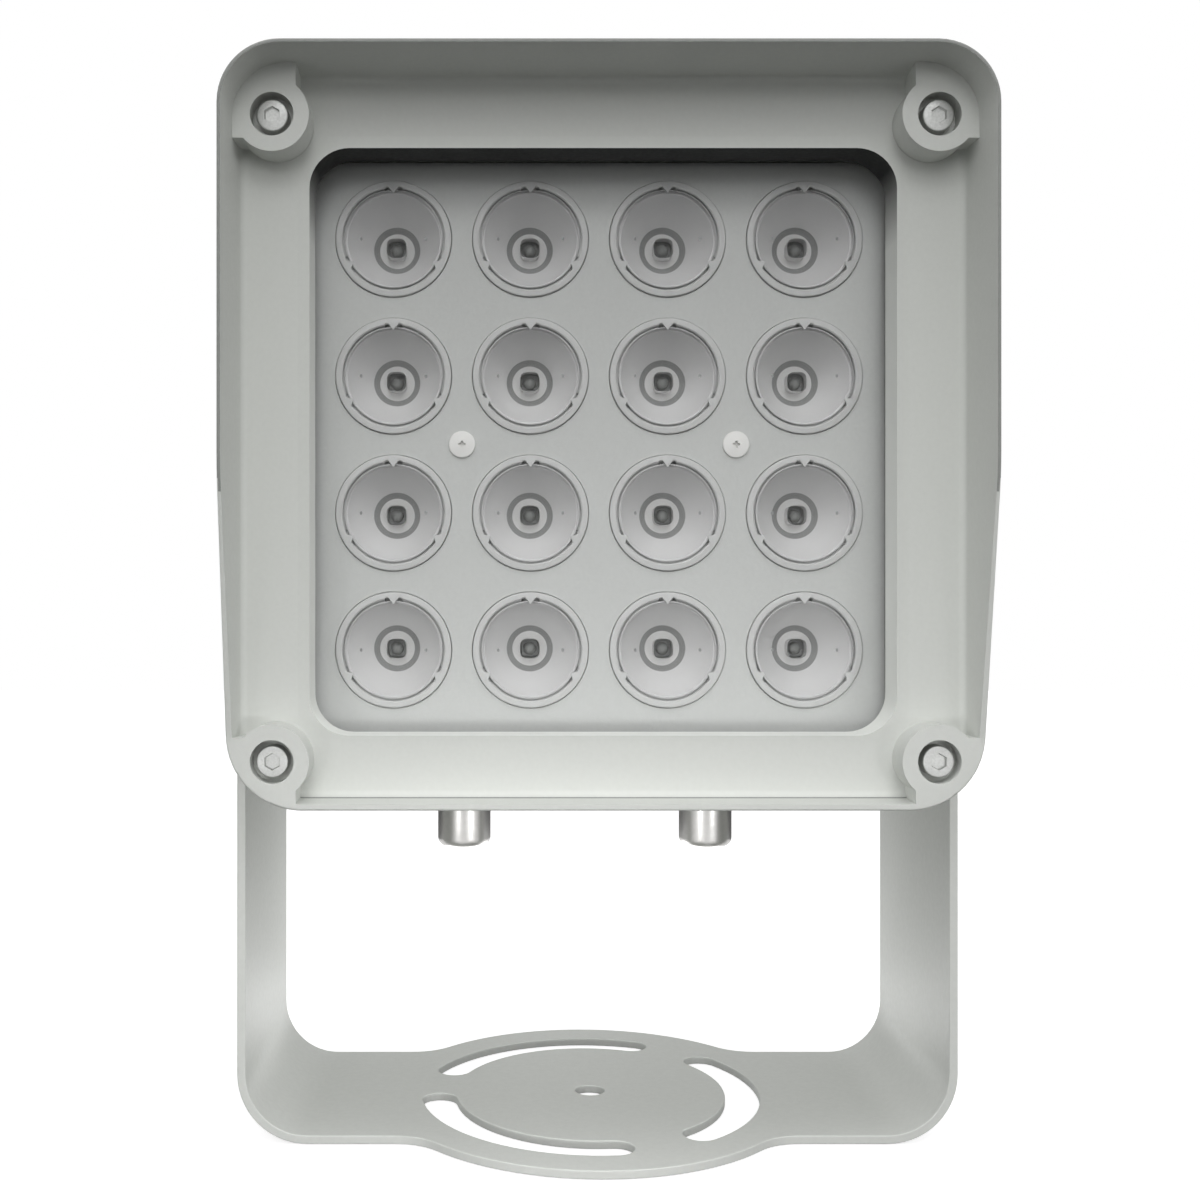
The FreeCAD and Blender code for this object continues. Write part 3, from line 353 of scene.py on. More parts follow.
# Moulded acrylic where its cone mirrors inside: it reads as satin grey, never as a hard mirror.
CONE_ACRYLIC = Finish("satin_cone_acrylic", "#DBDBDB", "#D7D7D7", 0.35, 0.9, 0.004, ior=1.49, shine=0.3)

# Darker acrylic as painted shade on the lens's outer wall and on the ring round the emitter between
# cone and foot; it also gives the faint moulding marks on the front their colour.
ACRYLIC_SHADE_AND_MARKS = Finish("acrylic_painted_shade_and_marks", "#999A99", "#949594", 0.4, 0.9, 0.004, ior=1.49, shine=0.3)

# The frosted foot of the lens, eroded in the tool, which scatters light and shines as a pale ring.
FROSTED_ACRYLIC = Finish(
    "frosted_foot_acrylic", "#D9D9D8", "#D5D5D4", 0.6, 0.5, 0.006, ior=1.49, shine=0.3)

# Epoxy resin over the emitter's grey chip: half gloss and mid grey, as the lens in front shows it.
EMITTER_RESIN = Finish("cast_emitter_epoxy", "#8E908E", "#888A88", 0.3, 0.6, 0.002, ior=1.52)

# Zinc-flake coat on steel screws: even silver grey, half matt.
ZINC_STEEL = Finish(
    "zinc_flake_on_steel", "#B9BAB8", "#AEAFAD", 0.48, 0.5, 0.004, metallic=1.0, gloss_spread=0.06)

# Turned stainless steel of the pivot bolts and washers, with a faint even grain.
STAINLESS_STEEL = Finish(
    "turned_stainless_steel", "#B9BAB9", "#AEAFAE", 0.3, 0.6, 0.003, metallic=1.0, gloss_spread=0.06)

# Bright nickel plate on turned brass: smooth, with a warm grey cast.
NICKEL_BRASS = Finish(
    "nickel_plate_on_brass", "#BFBEBC", "#BAB9B7", 0.34, 1.5, 0.0002, metallic=1.0, gloss_spread=0.02)

# Moulded silicone and nitrile rubber: dark, dull and slightly dusty.
SEAL_RUBBER = Finish("moulded_seal_rubber", "#2B2D2E", "#343638", 0.7, 0.8, 0.01, ior=1.5, shine=0.3)

# Punched friction disc of filled nylon, dull black.
FRICTION_PLASTIC = Finish("punched_filled_nylon", "#3A3B3C", "#434546", 0.6, 0.6, 0.006, ior=1.53)

# Solder resist over glass-fibre laminate: dark green with a half gloss.
CIRCUIT_BOARD = Finish("green_solder_resist", "#1F5A3A", "#256343", 0.35, 1.2, 0.004)

# Grey solder resist over an aluminium core, under the emitters.
GREY_BOARD = Finish("grey_solder_resist", "#A6A8A6", "#A1A3A1", 0.4, 1.2, 0.004)

# Enamelled copper wire wound in layers: brown, with a ridge every wire's width.
COPPER_WINDING = Finish(
    "enamelled_copper_winding", "#8A4B22", "#A35C2B", 0.35, 0.8, 0.05, metallic=0.6,
    stretch=(0.2, 1.0, 0.2))

# Heat-shrunk plastic sleeve of the capacitors.
SLEEVE_PLASTIC = Finish("shrunk_sleeve_plastic", "#23272E", "#2A2F38", 0.35, 1.0, 0.003)

# Glass-filled polyamide of the terminal block.
TERMINAL_PLASTIC = Finish("moulded_polyamide", "#3F6B4A", "#3A6445", 0.5, 0.7, 0.006, ior=1.53)

# Toughened low-iron glass with an anti-reflection coat, which mirrors half a per cent head-on.
COATED_GLASS = ClearFinish("coated_low_iron_glass", "#FEFEFE", 0.02, 0.005)

# The polished front of the acrylic lens, seen only through the coated glass, so kept as faint.
CLEAR_ACRYLIC = ClearFinish("polished_front_acrylic", "#FEFEFE", 0.05, 0.007)


@dataclass
class Shape:
    """Points in millimetres with four-cornered faces, and the number of each face's finish."""

    points: np.ndarray
    faces: np.ndarray
    finish: np.ndarray


def joined(shapes: list[Shape]) -> Shape:
    """One shape that holds several.

    Args:
        shapes: The shapes, in the order that their points keep.

    Returns:
        The new shape.
    """
    starts = np.cumsum([0] + [len(shape.points) for shape in shapes[:-1]])
    return Shape(
        np.concatenate([shape.points for shape in shapes]),
        np.concatenate([shape.faces + start for shape, start in zip(shapes, starts)]),
        np.concatenate([shape.finish for shape in shapes]),
    )


def ring_angles(segments: int) -> np.ndarray:
    """Angles round a ring, evenly spaced, counted from the first arm of its line."""
    return np.arange(segments) * (math.tau / segments)


def turned_shape(
    rows: list[tuple],
    centre: Pair,
    line: Line,
    segments: int,
    closed: bool = False,
    start: float = 0.0,
    facing: int = 1,
) -> Shape:
    """Surface of rings about a line.

    A point lies off the line by its row's radius times the cosine of its angle along the first
    arm, and times the sine along the second arm, and along the line at its row's place. Radius and
    place are plain numbers, or one number for each angle where the form isn't round.

    Args:
        rows: (radius, place) or (radius, place, finish number of the faces up to the next row).
        centre: Where the line stands, along its first and second arm.
        line: Direction of the line.
        segments: Points on each ring.
        closed: Whether the last row joins the first.
        start: Where the places are counted from.
        facing: 1 where they are counted along the line, -1 where they are counted against it.

    Returns:
        The shape, its ends at radius 0 still with a point for each angle.
    """
    angles = ring_angles(segments)
    radius = np.stack([np.broadcast_to(np.asarray(row[0], float), segments) for row in rows])
    place = np.stack([np.broadcast_to(np.asarray(row[1], float), segments) for row in rows])
    along, first, second = line.value
    points = np.empty((len(rows), segments, 3))
    points[..., along] = start + facing * place
    points[..., first] = centre[0] + radius * np.cos(angles)
    points[..., second] = centre[1] + radius * np.sin(angles)
    row_count = len(rows) if closed else len(rows) - 1
    row = np.arange(row_count)[:, None]
    column = np.arange(segments)[None, :]
    next_row = (row + 1) % len(rows)
    next_column = (column + 1) % segments
    faces = np.stack([
        row * segments + column,
        row * segments + next_column,
        next_row * segments + next_column,
        next_row * segments + column,
    ], axis=-1).reshape(-1, 4)
    numbers = [row_data[2] if len(row_data) > 2 else 0 for row_data in rows[:row_count]]
    return Shape(points.reshape(-1, 3), faces, np.repeat(numbers, segments))


def arc_rows(centre: Pair, radius: float, start: float, end: float, count: int) -> list[Pair]:
    """Rows that follow a round edge of a turned profile.

    A row lies outwards of the centre by the arc's radius times the cosine of its angle, and along
    the line by the radius times the sine.

    Args:
        centre: Radius and place of the arc's centre.
        radius: Radius of the arc.
        start: First angle in degrees, where 0 points away from the line.
        end: Last angle in degrees.
        count: Number of rows.

    Returns:
        (radius, place) of each row.
    """
    turns = np.radians(np.linspace(start, end, count))
    return list(zip(centre[0] + radius * np.cos(turns), centre[1] + radius * np.sin(turns)))


def hexagon_radius(flats: float, segments: int) -> np.ndarray:
    """Distance from the middle of a hexagon to its side, for each angle of a ring.

    It is half the width across flats divided by the cosine of the angle to the nearest side's
    middle.

    Args:
        flats: Width across flats.
        segments: Points on the ring.

    Returns:
        One radius for each angle.
    """
    sixth = math.tau / HEXAGON_SIDES
    off_side = np.mod(ring_angles(segments) + sixth / 2, sixth) - sixth / 2
    return flats / 2 / np.cos(off_side)


def cross_radius(length: float, width: float, segments: int) -> np.ndarray:
    """Distance from the middle of a cross to its edge, for each angle of a ring.

    It is the smaller of half the length divided by the larger of cosine and sine, and half the
    width divided by the smaller of them.

    Args:
        length: Length of an arm from tip to tip.
        width: Width of an arm.
        segments: Points on the ring.

    Returns:
        One radius for each angle.
    """
    angles = ring_angles(segments)
    big = np.maximum(np.abs(np.cos(angles)), np.abs(np.sin(angles)))
    small = np.minimum(np.abs(np.cos(angles)), np.abs(np.sin(angles)))
    return np.minimum(length / 2 / big, width / 2 / np.maximum(small, NEARLY_ZERO))


def rounded_square_radius(side: float, squareness: float, segments: int) -> np.ndarray:
    """Distance from the middle of a square with round corners to its edge, for each angle.

    Cosine and sine are raised to the squareness and added, and half the side is divided by the
    same root of that sum.

    Args:
        side: Width of the square.
        squareness: 2 for a circle, and more for sharper corners.
        segments: Points on the ring.

    Returns:
        One radius for each angle.
    """
    angles = ring_angles(segments)
    spread = np.abs(np.cos(angles)) ** squareness + np.abs(np.sin(angles)) ** squareness
    return side / 2 / spread ** (1 / squareness)


def write_mesh(name: str, shape: Shape) -> bpy.types.Mesh:
    """Writes a shape to a mesh, closed and faced outwards, smooth but for its sharp edges.

    Args:
        name: Name of the mesh.
        shape: Points in millimetres and faces.

    Returns:
        The mesh, in metres.
    """
    mesh = bpy.data.meshes.new(name)
    mesh.from_pydata(shape.points * MM, [], shape.faces)
    mesh.polygons.foreach_set("material_index", shape.finish.astype(np.int32))
    work = bmesh.new()
    work.from_mesh(mesh)
    bmesh.ops.remove_doubles(work, verts=work.verts, dist=MERGE_DISTANCE)
    bmesh.ops.recalc_face_normals(work, faces=work.faces)
    work.to_mesh(mesh)
    work.free()
    mesh.polygons.foreach_set("use_smooth", np.ones(len(mesh.polygons), bool))
    mesh.set_sharp_from_angle(angle=math.radians(CRISP_ANGLE))
    return mesh


def add_object(name: str, data: bpy.types.ID) -> bpy.types.Object:
    """Puts data in the scene as a new object.

    Args:
        name: Name of the object.
        data: Mesh, lamp or camera that it shows.

    Returns:
        The new object.
    """
    added = bpy.data.objects.new(name, data)
    bpy.context.scene.collection.objects.link(added)
    return added


def add_piece(
    mesh: bpy.types.Mesh,
    finishes: list[Surface],
    body: Body,
    node: str,
) -> bpy.types.Object:
    """Puts a mesh in the scene as a finished piece of the object.

    Args:
        mesh: The mesh, in place and in metres. Its name becomes the piece's name.
        finishes: Finishes by number.
        body: The body that the piece moves with.
        node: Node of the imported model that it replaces.

    Returns:
        The new object.
    """
    piece = add_object(mesh.name, mesh)
    for finish in finishes:
        mesh.materials.append(finish.material())
    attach(piece, body.value)
    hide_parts(node)
    LOG.info("piece %s: %d faces on %s", piece.name, len(mesh.polygons), body.value)
    return piece


def face_vectors(mesh: bpy.types.Mesh, kind: str) -> np.ndarray:
    """One vector for each face of a mesh.

    Args:
        mesh: The mesh.
        kind: What it gives of its faces: their center, in metres, or their normal.

    Returns:
        Array of one row for each face.
    """
    values = np.empty(3 * len(mesh.polygons))
    mesh.polygons.foreach_get(kind, values)
    return values.reshape(-1, 3)


def merged_copy(node: str, name: str) -> bpy.types.Mesh:
    """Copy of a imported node's mesh with its triangles joined into whole faces.

    Args:
        node: Name of the node.
        name: Name of the new mesh.

    Returns:
        The new mesh.
    """
    work = bmesh.new()
    work.from_mesh(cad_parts[node].data)
    bmesh.ops.remove_doubles(work, verts=work.verts, dist=MERGE_DISTANCE)
    bmesh.ops.dissolve_limit(
        work, angle_limit=math.radians(FLAT_ANGLE), verts=work.verts, edges=work.edges)
    bmesh.ops.recalc_face_normals(work, faces=work.faces)
    mesh = bpy.data.meshes.new(name)
    work.to_mesh(mesh)
    work.free()
    mesh.materials.clear()
    own_normals = mesh.attributes.get("custom_normal")
    if own_normals:
        mesh.attributes.remove(own_normals)
    return mesh


def add_round_edges(piece: bpy.types.Object, width: float) -> None:
    """Rounds the sharp edges of a piece, so that they catch light as real edges do.

    Args:
        piece: The piece.
        width: Width of the rounding in millimetres.
    """
    piece.data.polygons.foreach_set("use_smooth", np.ones(len(piece.data.polygons), bool))
    rounding = piece.modifiers.new("round_edges", "BEVEL")
    rounding.width = width * MM
    rounding.segments = ROUNDING_FACES
    rounding.limit_method = "ANGLE"
    rounding.angle_limit = math.radians(ROUNDED_ANGLE)
    rounding.harden_normals = True
    rounding.use_clamp_overlap = True


def dress_node(node: str, finish: Surface) -> None:
    """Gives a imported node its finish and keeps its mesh.

    Args:
        node: Name of the node.
        finish: Its finish.
    """
    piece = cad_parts[node]
    piece.data.materials.clear()
    piece.data.materials.append(finish.material())
    LOG.info("node %s: %s", node, finish.name)


@dataclass
class SheetBracket:
    """Folded steel bracket with its slotted disc."""

    edge_round: float = 0.35

    def build(self) -> None:
        """Adds the painted sheet with its edges eased by the coat."""
        mesh = merged_copy("bracket", "bracket_sheet")
        # The sheet's coat is painted a little lighter than the castings', as painted light
        piece = add_piece(mesh, [SHEET_PAINT_LIGHTENED], Body.BRACKET, "bracket")
        add_round_edges(piece, self.edge_round)


@dataclass
class CastHead:
    """The castings of the head, with the seals between them."""

    cover_edge: float = 0.5
    housing_edge: float = 0.5
    lid_edge: float = 0.4
    window_half: float = 79.05
    wall_slant: float = 0.5
    hood_front: float = -83.5
    edge_depth: float = 0.7
    window_middle: float = 198.0
    corner_place: float = -63.0
    corner_reach: float = 0.4
    corner_steep: Pair = (0.9, 0.995)
    corner_top: float = 110.0

    def mark_cover(self, mesh: bpy.types.Mesh) -> None:
        """Gives the walls of the window, the hood's front edge and the lip's corner finishes of their
        own.

        The walls are the faces inside the window's outline that look sideways, up or down; they take
        painted shade. The edge is the faces whose middle lies within its depth from the hood's front;
        it is a darker grey. The corner is the last faces of the rounding between bezel and lip, which
        look almost straight up; it takes a painted shade line.

        Args:
            mesh: Mesh of the cover, in metres.
        """
        middles = face_vectors(mesh, "center") / MM
        normals = face_vectors(mesh, "normal")
        off_x = np.abs(middles[:, 0])
        off_z = np.abs(middles[:, 2] - self.window_middle)
        # Painted shade: the walls of the window
        wall = np.abs(normals[:, 1]) < self.wall_slant
        wall &= np.maximum(off_x, off_z) < self.window_half
        edge = middles[:, 1] < self.hood_front + self.edge_depth
        # Painted shade: a fine line in the lip's corner
        steep = normals[:, 2]
        corner = (steep > self.corner_steep[0]) & (steep < self.corner_steep[1])
        corner &= np.abs(middles[:, 1] - self.corner_place) < self.corner_reach
        corner &= middles[:, 2] < self.corner_top
        numbers = np.select(
            [edge | corner, wall], [CoverFace.EDGE_AND_CREASE_SHADE, CoverFace.WALL], CoverFace.PAINT)
        mesh.polygons.foreach_set("material_index", numbers.astype(np.int32))

    def build(self) -> None:
        """Adds the castings and gives the seals their rubber."""
        castings = [
            ("front_cover", "cover_casting", self.cover_edge),
            ("rear_housing", "housing_casting", self.housing_edge),
            ("rear_cover", "lid_casting", self.lid_edge),
        ]
        for node, name, edge in castings:
            mesh = merged_copy(node, name)
            finishes = [CAST_PAINT]
            if node == "front_cover":
                self.mark_cover(mesh)
                # The walls of the window and the lip's corner take painted shade; the hood's front edge
                # is a darker grey.
                finishes += [WINDOW_WALL_PAINTED_SHADE, DARK_EDGE_AND_CREASE_SHADE]
            piece = add_piece(mesh, finishes, Body.HEAD, node)
            add_round_edges(piece, edge)
        for node in ("cover_gasket", "window_gasket", "rear_gasket"):
            dress_node(node, SEAL_RUBBER)


@dataclass(frozen=True)
class Screw:
    """One kind of screw, with a domed head and a recess for its driver."""

    head_radius: float
    head_height: float
    dome: float
    edge: float
    shank_radius: float
    length: float
    recess: Recess
    recess_size: float
    recess_depth: float
    recess_taper: float = 0.9
    cross_slimness: float = 3.0
    dome_rows: int = 6
    edge_rows: int = 5
    segments: int = 72

    def recess_radius(self) -> np.ndarray:
        """Outline of the recess.

        Returns:
            One radius for each angle.
        """
        if self.recess is Recess.HEXAGON:
            return hexagon_radius(self.recess_size, self.segments)
        return cross_radius(self.recess_size, self.recess_size / self.cross_slimness, self.segments)

    def shape(self, place: Pair, seat: float, facing: int) -> Shape:
        """One screw along Y.

        The rows run from the middle of the recess over the dome, whose height falls with the
        square of the radius, round the head's edge and down the shank to its end.

        Args:
            place: (x, z) of the screw's line.
            seat: Place along Y of the face under the head.
            facing: -1 where the head looks to the front, 1 where it looks to the rear.

        Returns:
            The screw's shape.
        """
        outline = self.recess_radius()
        shoulder = self.head_radius - self.edge
        floor = self.head_height - self.recess_depth
        rows = [(0.0, floor), (outline * self.recess_taper, floor)]
        for share in np.linspace(0.0, 1.0, self.dome_rows):
            radius = outline + (shoulder - outline) * share
            rows.append((radius, self.head_height + self.dome * (1 - (radius / shoulder) ** 2)))
        centre = (shoulder, self.head_height - self.edge)
        rows += arc_rows(centre, self.edge, QUARTER_TURN, 0, self.edge_rows)[1:]
        rows += [
            (self.head_radius, 0.0),
            (self.shank_radius, 0.0),
            (self.shank_radius, -self.length),
            (0.0, -self.length),
        ]
        return turned_shape(rows, place, Line.DEEP, self.segments, start=seat, facing=facing)


@dataclass(frozen=True)
class CornerScrews:
    """Four equal screws in the corners of a rectangle."""

    name: str
    node: str
    screw: Screw
    spacing_x: float
    spacing_z: float
    middle_z: float
    seat: float
    facing: int

    def build(self) -> None:
        """Adds the four screws as one piece."""
        shapes = []
        for side_x in (-1, 1):
            for side_z in (-1, 1):
                x = side_x * self.spacing_x / 2
                z = self.middle_z + side_z * self.spacing_z / 2
                shapes.append(self.screw.shape((x, z), self.seat, self.facing))
        mesh = write_mesh(self.name, joined(shapes))
        add_piece(mesh, [ZINC_STEEL], Body.HEAD, self.node)


# Socket-head screws in the corners of the front cover
COVER_SCREWS = CornerScrews(
    name="corner_screws",
    node="cover_screws",
    screw=Screw(
        head_radius=4.25,
        head_height=4.6,
        dome=0.4,
        edge=0.6,
        shank_radius=2.5,
        length=44.0,
        recess=Recess.HEXAGON,
        recess_size=4.0,
        recess_depth=0.7,
    ),
    spacing_x=175.2,
    spacing_z=170.0,
    middle_z=198.0,
    seat=-66.0,
    facing=-1,
)

# Low-head screws in the lid of the driver chamber
LID_SCREWS = CornerScrews(
    name="lid_screws",
    node="rear_screws",
    screw=Screw(
        head_radius=3.5,
        head_height=2.4,
        dome=0.2,
        edge=0.4,
        shank_radius=2.0,
        length=12.0,
        recess=Recess.HEXAGON,
        recess_size=2.5,
        recess_depth=1.3,
    ),
    spacing_x=110.0,
    spacing_z=104.0,
    middle_z=163.2,
    seat=40.6,
    facing=1,
)


@dataclass
class OpticArray:
    """Panel with sixteen lenses in their cups, the emitters behind them and two white screws."""

    count: int = 4
    pitch: float = 38.5
    middle_z: float = 199.2
    rim_front: float = -45.0
    board_front: float = -29.0
    rim_radius: float = 16.25
    rim_inner: float = 14.3
    rim_back: float = 3.6
    shell_radius: float = 14.4
    rim_edge: float = 0.35
    seat_depth: float = 1.7
    seat_radius: float = 13.2
    throat_radius: float = 6.9
    foot_radius: float = 8.1
    cup_depth: float = 16.0
    throat_depth: float = 14.6
    clip_count: int = 3
    clip_reach: float = 1.5
    clip_half_angle: float = 5.0
    slit_start: float = 5.0
    slit_end: float = 10.5
    top_clip_share: float = 0.5
    slit_reach: float = 0.35
    slit_depth: float = 3.2
    clip_thick: float = 0.36
    side_slit_share: float = 0.3
    lens_radius: float = 13.75
    lens_front: float = 0.4
    lens_edge: float = 0.25
    lens_lift: float = 0.05
    cone_radius: float = 13.0
    neck_radius: float = 6.7
    neck_depth: float = 14.0
    tail_radius: float = 5.05
    tail_depth: float = 15.1
    well_side: float = 5.6
    well_squareness: float = 3.2
    well_top: float = 10.9
    emitter_side: float = 4.6
    emitter_height: float = 0.9
    dome_radius: float = 1.9
    emitter_squareness: float = 8.0
    emitter_edge: float = 0.1
    emitter_taper: float = 0.97
    emitter_segments: int = 48
    dome_rows: int = 7
    edge_rows: int = 4
    holder_segments: int = 240
    lens_segments: int = 96
    panel_edge: float = 0.2
    screw_seat: float = -44.2
    panel_screw: Screw = Screw(
        head_radius=3.75,
        head_height=0.9,
        dome=0.35,
        edge=0.35,
        shank_radius=1.5,
        length=9.0,
        recess=Recess.CROSS,
        recess_size=2.0,
        recess_depth=0.9,
    )
    mark_segments: int = 16
    mark_thick: float = 0.02
    mark_offset: float = 9.1
    mark_width: float = 0.4
    mark_height: float = 0.55

    def places(self) -> list[Pair]:
        """Centres of the optics as (x, z), row by row from the top left."""
        offsets = [(index - (self.count - 1) / 2) * self.pitch for index in range(self.count)]
        return [(x, self.middle_z - drop) for drop in offsets for x in offsets]

    def clip_offset(self) -> np.ndarray:
        """How far each angle of a cup's ring lies from the nearest clip, one of which is on top.

        Returns:
            One turn in degrees for each angle.
        """
        spacing = FULL_TURN / self.clip_count
        angle = np.degrees(ring_angles(self.holder_segments)) - QUARTER_TURN
        return np.abs(np.mod(angle + spacing / 2, spacing) - spacing / 2)

    def slit_share(self) -> np.ndarray:
        """How open the slits are round a cup: fully beside the top clip only.

        Returns:
            One share from 0 to 1 for each angle of the ring.
        """
        off = self.clip_offset()
        upper = np.sin(ring_angles(self.holder_segments)) > self.top_clip_share
        slit = (off > self.slit_start) & (off < self.slit_end)
        return slit * np.where(upper, 1.0, self.side_slit_share)

    def holder_shape(self, place: Pair) -> Shape:
        """One cup: rim, seat and cone, with three clips and a slit on each side of a clip.

        The inner edge of the rim leaves its circle: it comes in as a wedge at a clip and goes out
        over each slit, where the seat drops as well.

        Args:
            place: (x, z) of the optic's middle.

        Returns:
            The cup's shape.
        """
        wedge = np.clip(1 - self.clip_offset() / self.clip_half_angle, 0, 1)
        slit = self.slit_share()
        inner = self.rim_inner - self.clip_reach * wedge + self.slit_reach * slit
        deep = self.seat_depth + (self.slit_depth - self.seat_depth) * slit
        clip_back = np.where(wedge > 0, self.clip_thick, deep)
        seat_edge = self.rim_inner + self.slit_reach * slit
        rows = [
            (inner + self.rim_edge * (1 - wedge), 0.0),
            (self.rim_radius - self.rim_edge, 0.0),
        ]
        centre = (self.rim_radius - self.rim_edge, self.rim_edge)
        rows += arc_rows(centre, self.rim_edge, -QUARTER_TURN, 0, self.edge_rows)[1:]
        rows += [
            (self.rim_radius, self.rim_back),
            (self.shell_radius, self.rim_back),
            (self.foot_radius, self.cup_depth),
            (self.throat_radius, self.cup_depth),
            (self.throat_radius, self.throat_depth),
            (self.seat_radius, self.seat_depth),
            (self.seat_radius, deep),
            (seat_edge, deep),
            (seat_edge, clip_back),
            (inner, clip_back),
            (inner, self.rim_edge),
        ]
        return turned_shape(
            rows, place, Line.DEEP, self.holder_segments, closed=True, start=self.rim_front)

    def lens_shape(self, place: Pair) -> Shape:
        """One lens: clear front, satin cone, frosted foot and clear well, with painted shade at its rim
        and neck.

        Args:
            place: (x, z) of the optic's middle.

        Returns:
            The lens with its two moulding marks.
        """
        well = rounded_square_radius(self.well_side, self.well_squareness, self.lens_segments)
        rows = [
            (0.0, self.lens_front, LensFace.CLEAR),
            (self.lens_radius - self.lens_edge, self.lens_front, LensFace.CONE),
            # Painted shade on the lens's outer wall here, and further down on the ring from neck to
            # foot
            (self.lens_radius, self.lens_front + self.lens_edge, LensFace.DARK),
            (self.lens_radius, self.seat_depth - self.lens_lift, LensFace.CONE),
            (self.cone_radius, self.seat_depth, LensFace.CONE),
            (self.neck_radius, self.neck_depth, LensFace.DARK),
            (self.tail_radius, self.tail_depth, LensFace.FROSTED),
            (well, self.tail_depth, LensFace.FROSTED),
            (well, self.well_top, LensFace.CLEAR),
            (0.0, self.well_top, LensFace.CLEAR),
        ]
        lens = turned_shape(rows, place, Line.DEEP, self.lens_segments, start=self.rim_front)
        return joined([lens, self.mark_shape(place, -1), self.mark_shape(place, 1)])

    def mark_shape(self, place: Pair, side: int) -> Shape:
        """One faint upright oval mark, as thin as a film, on the front of a lens.

        It is a flat turned disc of radius 1, stretched to half the width and height of the oval.

        Args:
            place: (x, z) of the optic's middle.
            side: -1 for the mark on the left, 1 for that on the right.

        Returns:
            The mark's shape.
        """
        rows = [
            (0.0, -self.mark_thick, LensFace.DARK),
            (1.0, -self.mark_thick / 2, LensFace.DARK),
            (1.0, self.mark_thick / 2, LensFace.DARK),
            (0.0, self.mark_thick, LensFace.DARK),
        ]
        mark = turned_shape(
            rows, (0.0, 0.0), Line.DEEP, self.mark_segments, start=self.rim_front + self.lens_front)
        mark.points *= (self.mark_width, 1.0, self.mark_height)
        mark.points += (place[0] + side * self.mark_offset, 0.0, place[1])
        return mark

    def emitter_shape(self, place: Pair) -> Shape:
        """One emitter: square package with round corners and a low dome.

        Args:
            place: (x, z) of the optic's middle.

        Returns:
            The emitter's shape.
        """
        side = rounded_square_radius(self.emitter_side, self.emitter_squareness, self.emitter_segments)
        base = self.board_front - self.emitter_height
        rows = arc_rows((0.0, base), self.dome_radius, -QUARTER_TURN, 0, self.dome_rows)
        rows += [
            (side * self.emitter_taper, base),
            (side, base + self.emitter_edge),
            (side, self.board_front),
            (0.0, self.board_front),
        ]
        return turned_shape(rows, place, Line.DEEP, self.emitter_segments)

    def build(self) -> None:
        """Adds the panel, cups, lenses, emitters and the panel's screws."""
        panel = merged_copy("lens_plate", "optic_panel")
        piece = add_piece(panel, [PANEL_PLASTIC], Body.HEAD, "lens_plate")
        add_round_edges(piece, self.panel_edge)
        emitters = []
        for number, place in enumerate(self.places(), start=1):
            tag = f"{number:02d}"
            cup = write_mesh("optic_cup_" + tag, self.holder_shape(place))
            add_piece(cup, [HOLDER_PLASTIC], Body.HEAD, "lens_holder_" + tag)
            lens = write_mesh("optic_lens_" + tag, self.lens_shape(place))
            finishes = [CLEAR_ACRYLIC, CONE_ACRYLIC, ACRYLIC_SHADE_AND_MARKS, FROSTED_ACRYLIC]
            add_piece(lens, finishes, Body.HEAD, "lens_" + tag)
            emitters.append(self.emitter_shape(place))
        mesh = write_mesh("emitter_domes", joined(emitters))
        add_piece(mesh, [EMITTER_RESIN], Body.HEAD, "led_emitters")
        screws = [
            self.panel_screw.shape((side * self.pitch, self.middle_z), self.screw_seat, -1)
            for side in (-1, 1)
        ]
        mesh = write_mesh("panel_screws", joined(screws))
        add_piece(mesh, [WHITE_NYLON], Body.HEAD, "plate_screws")


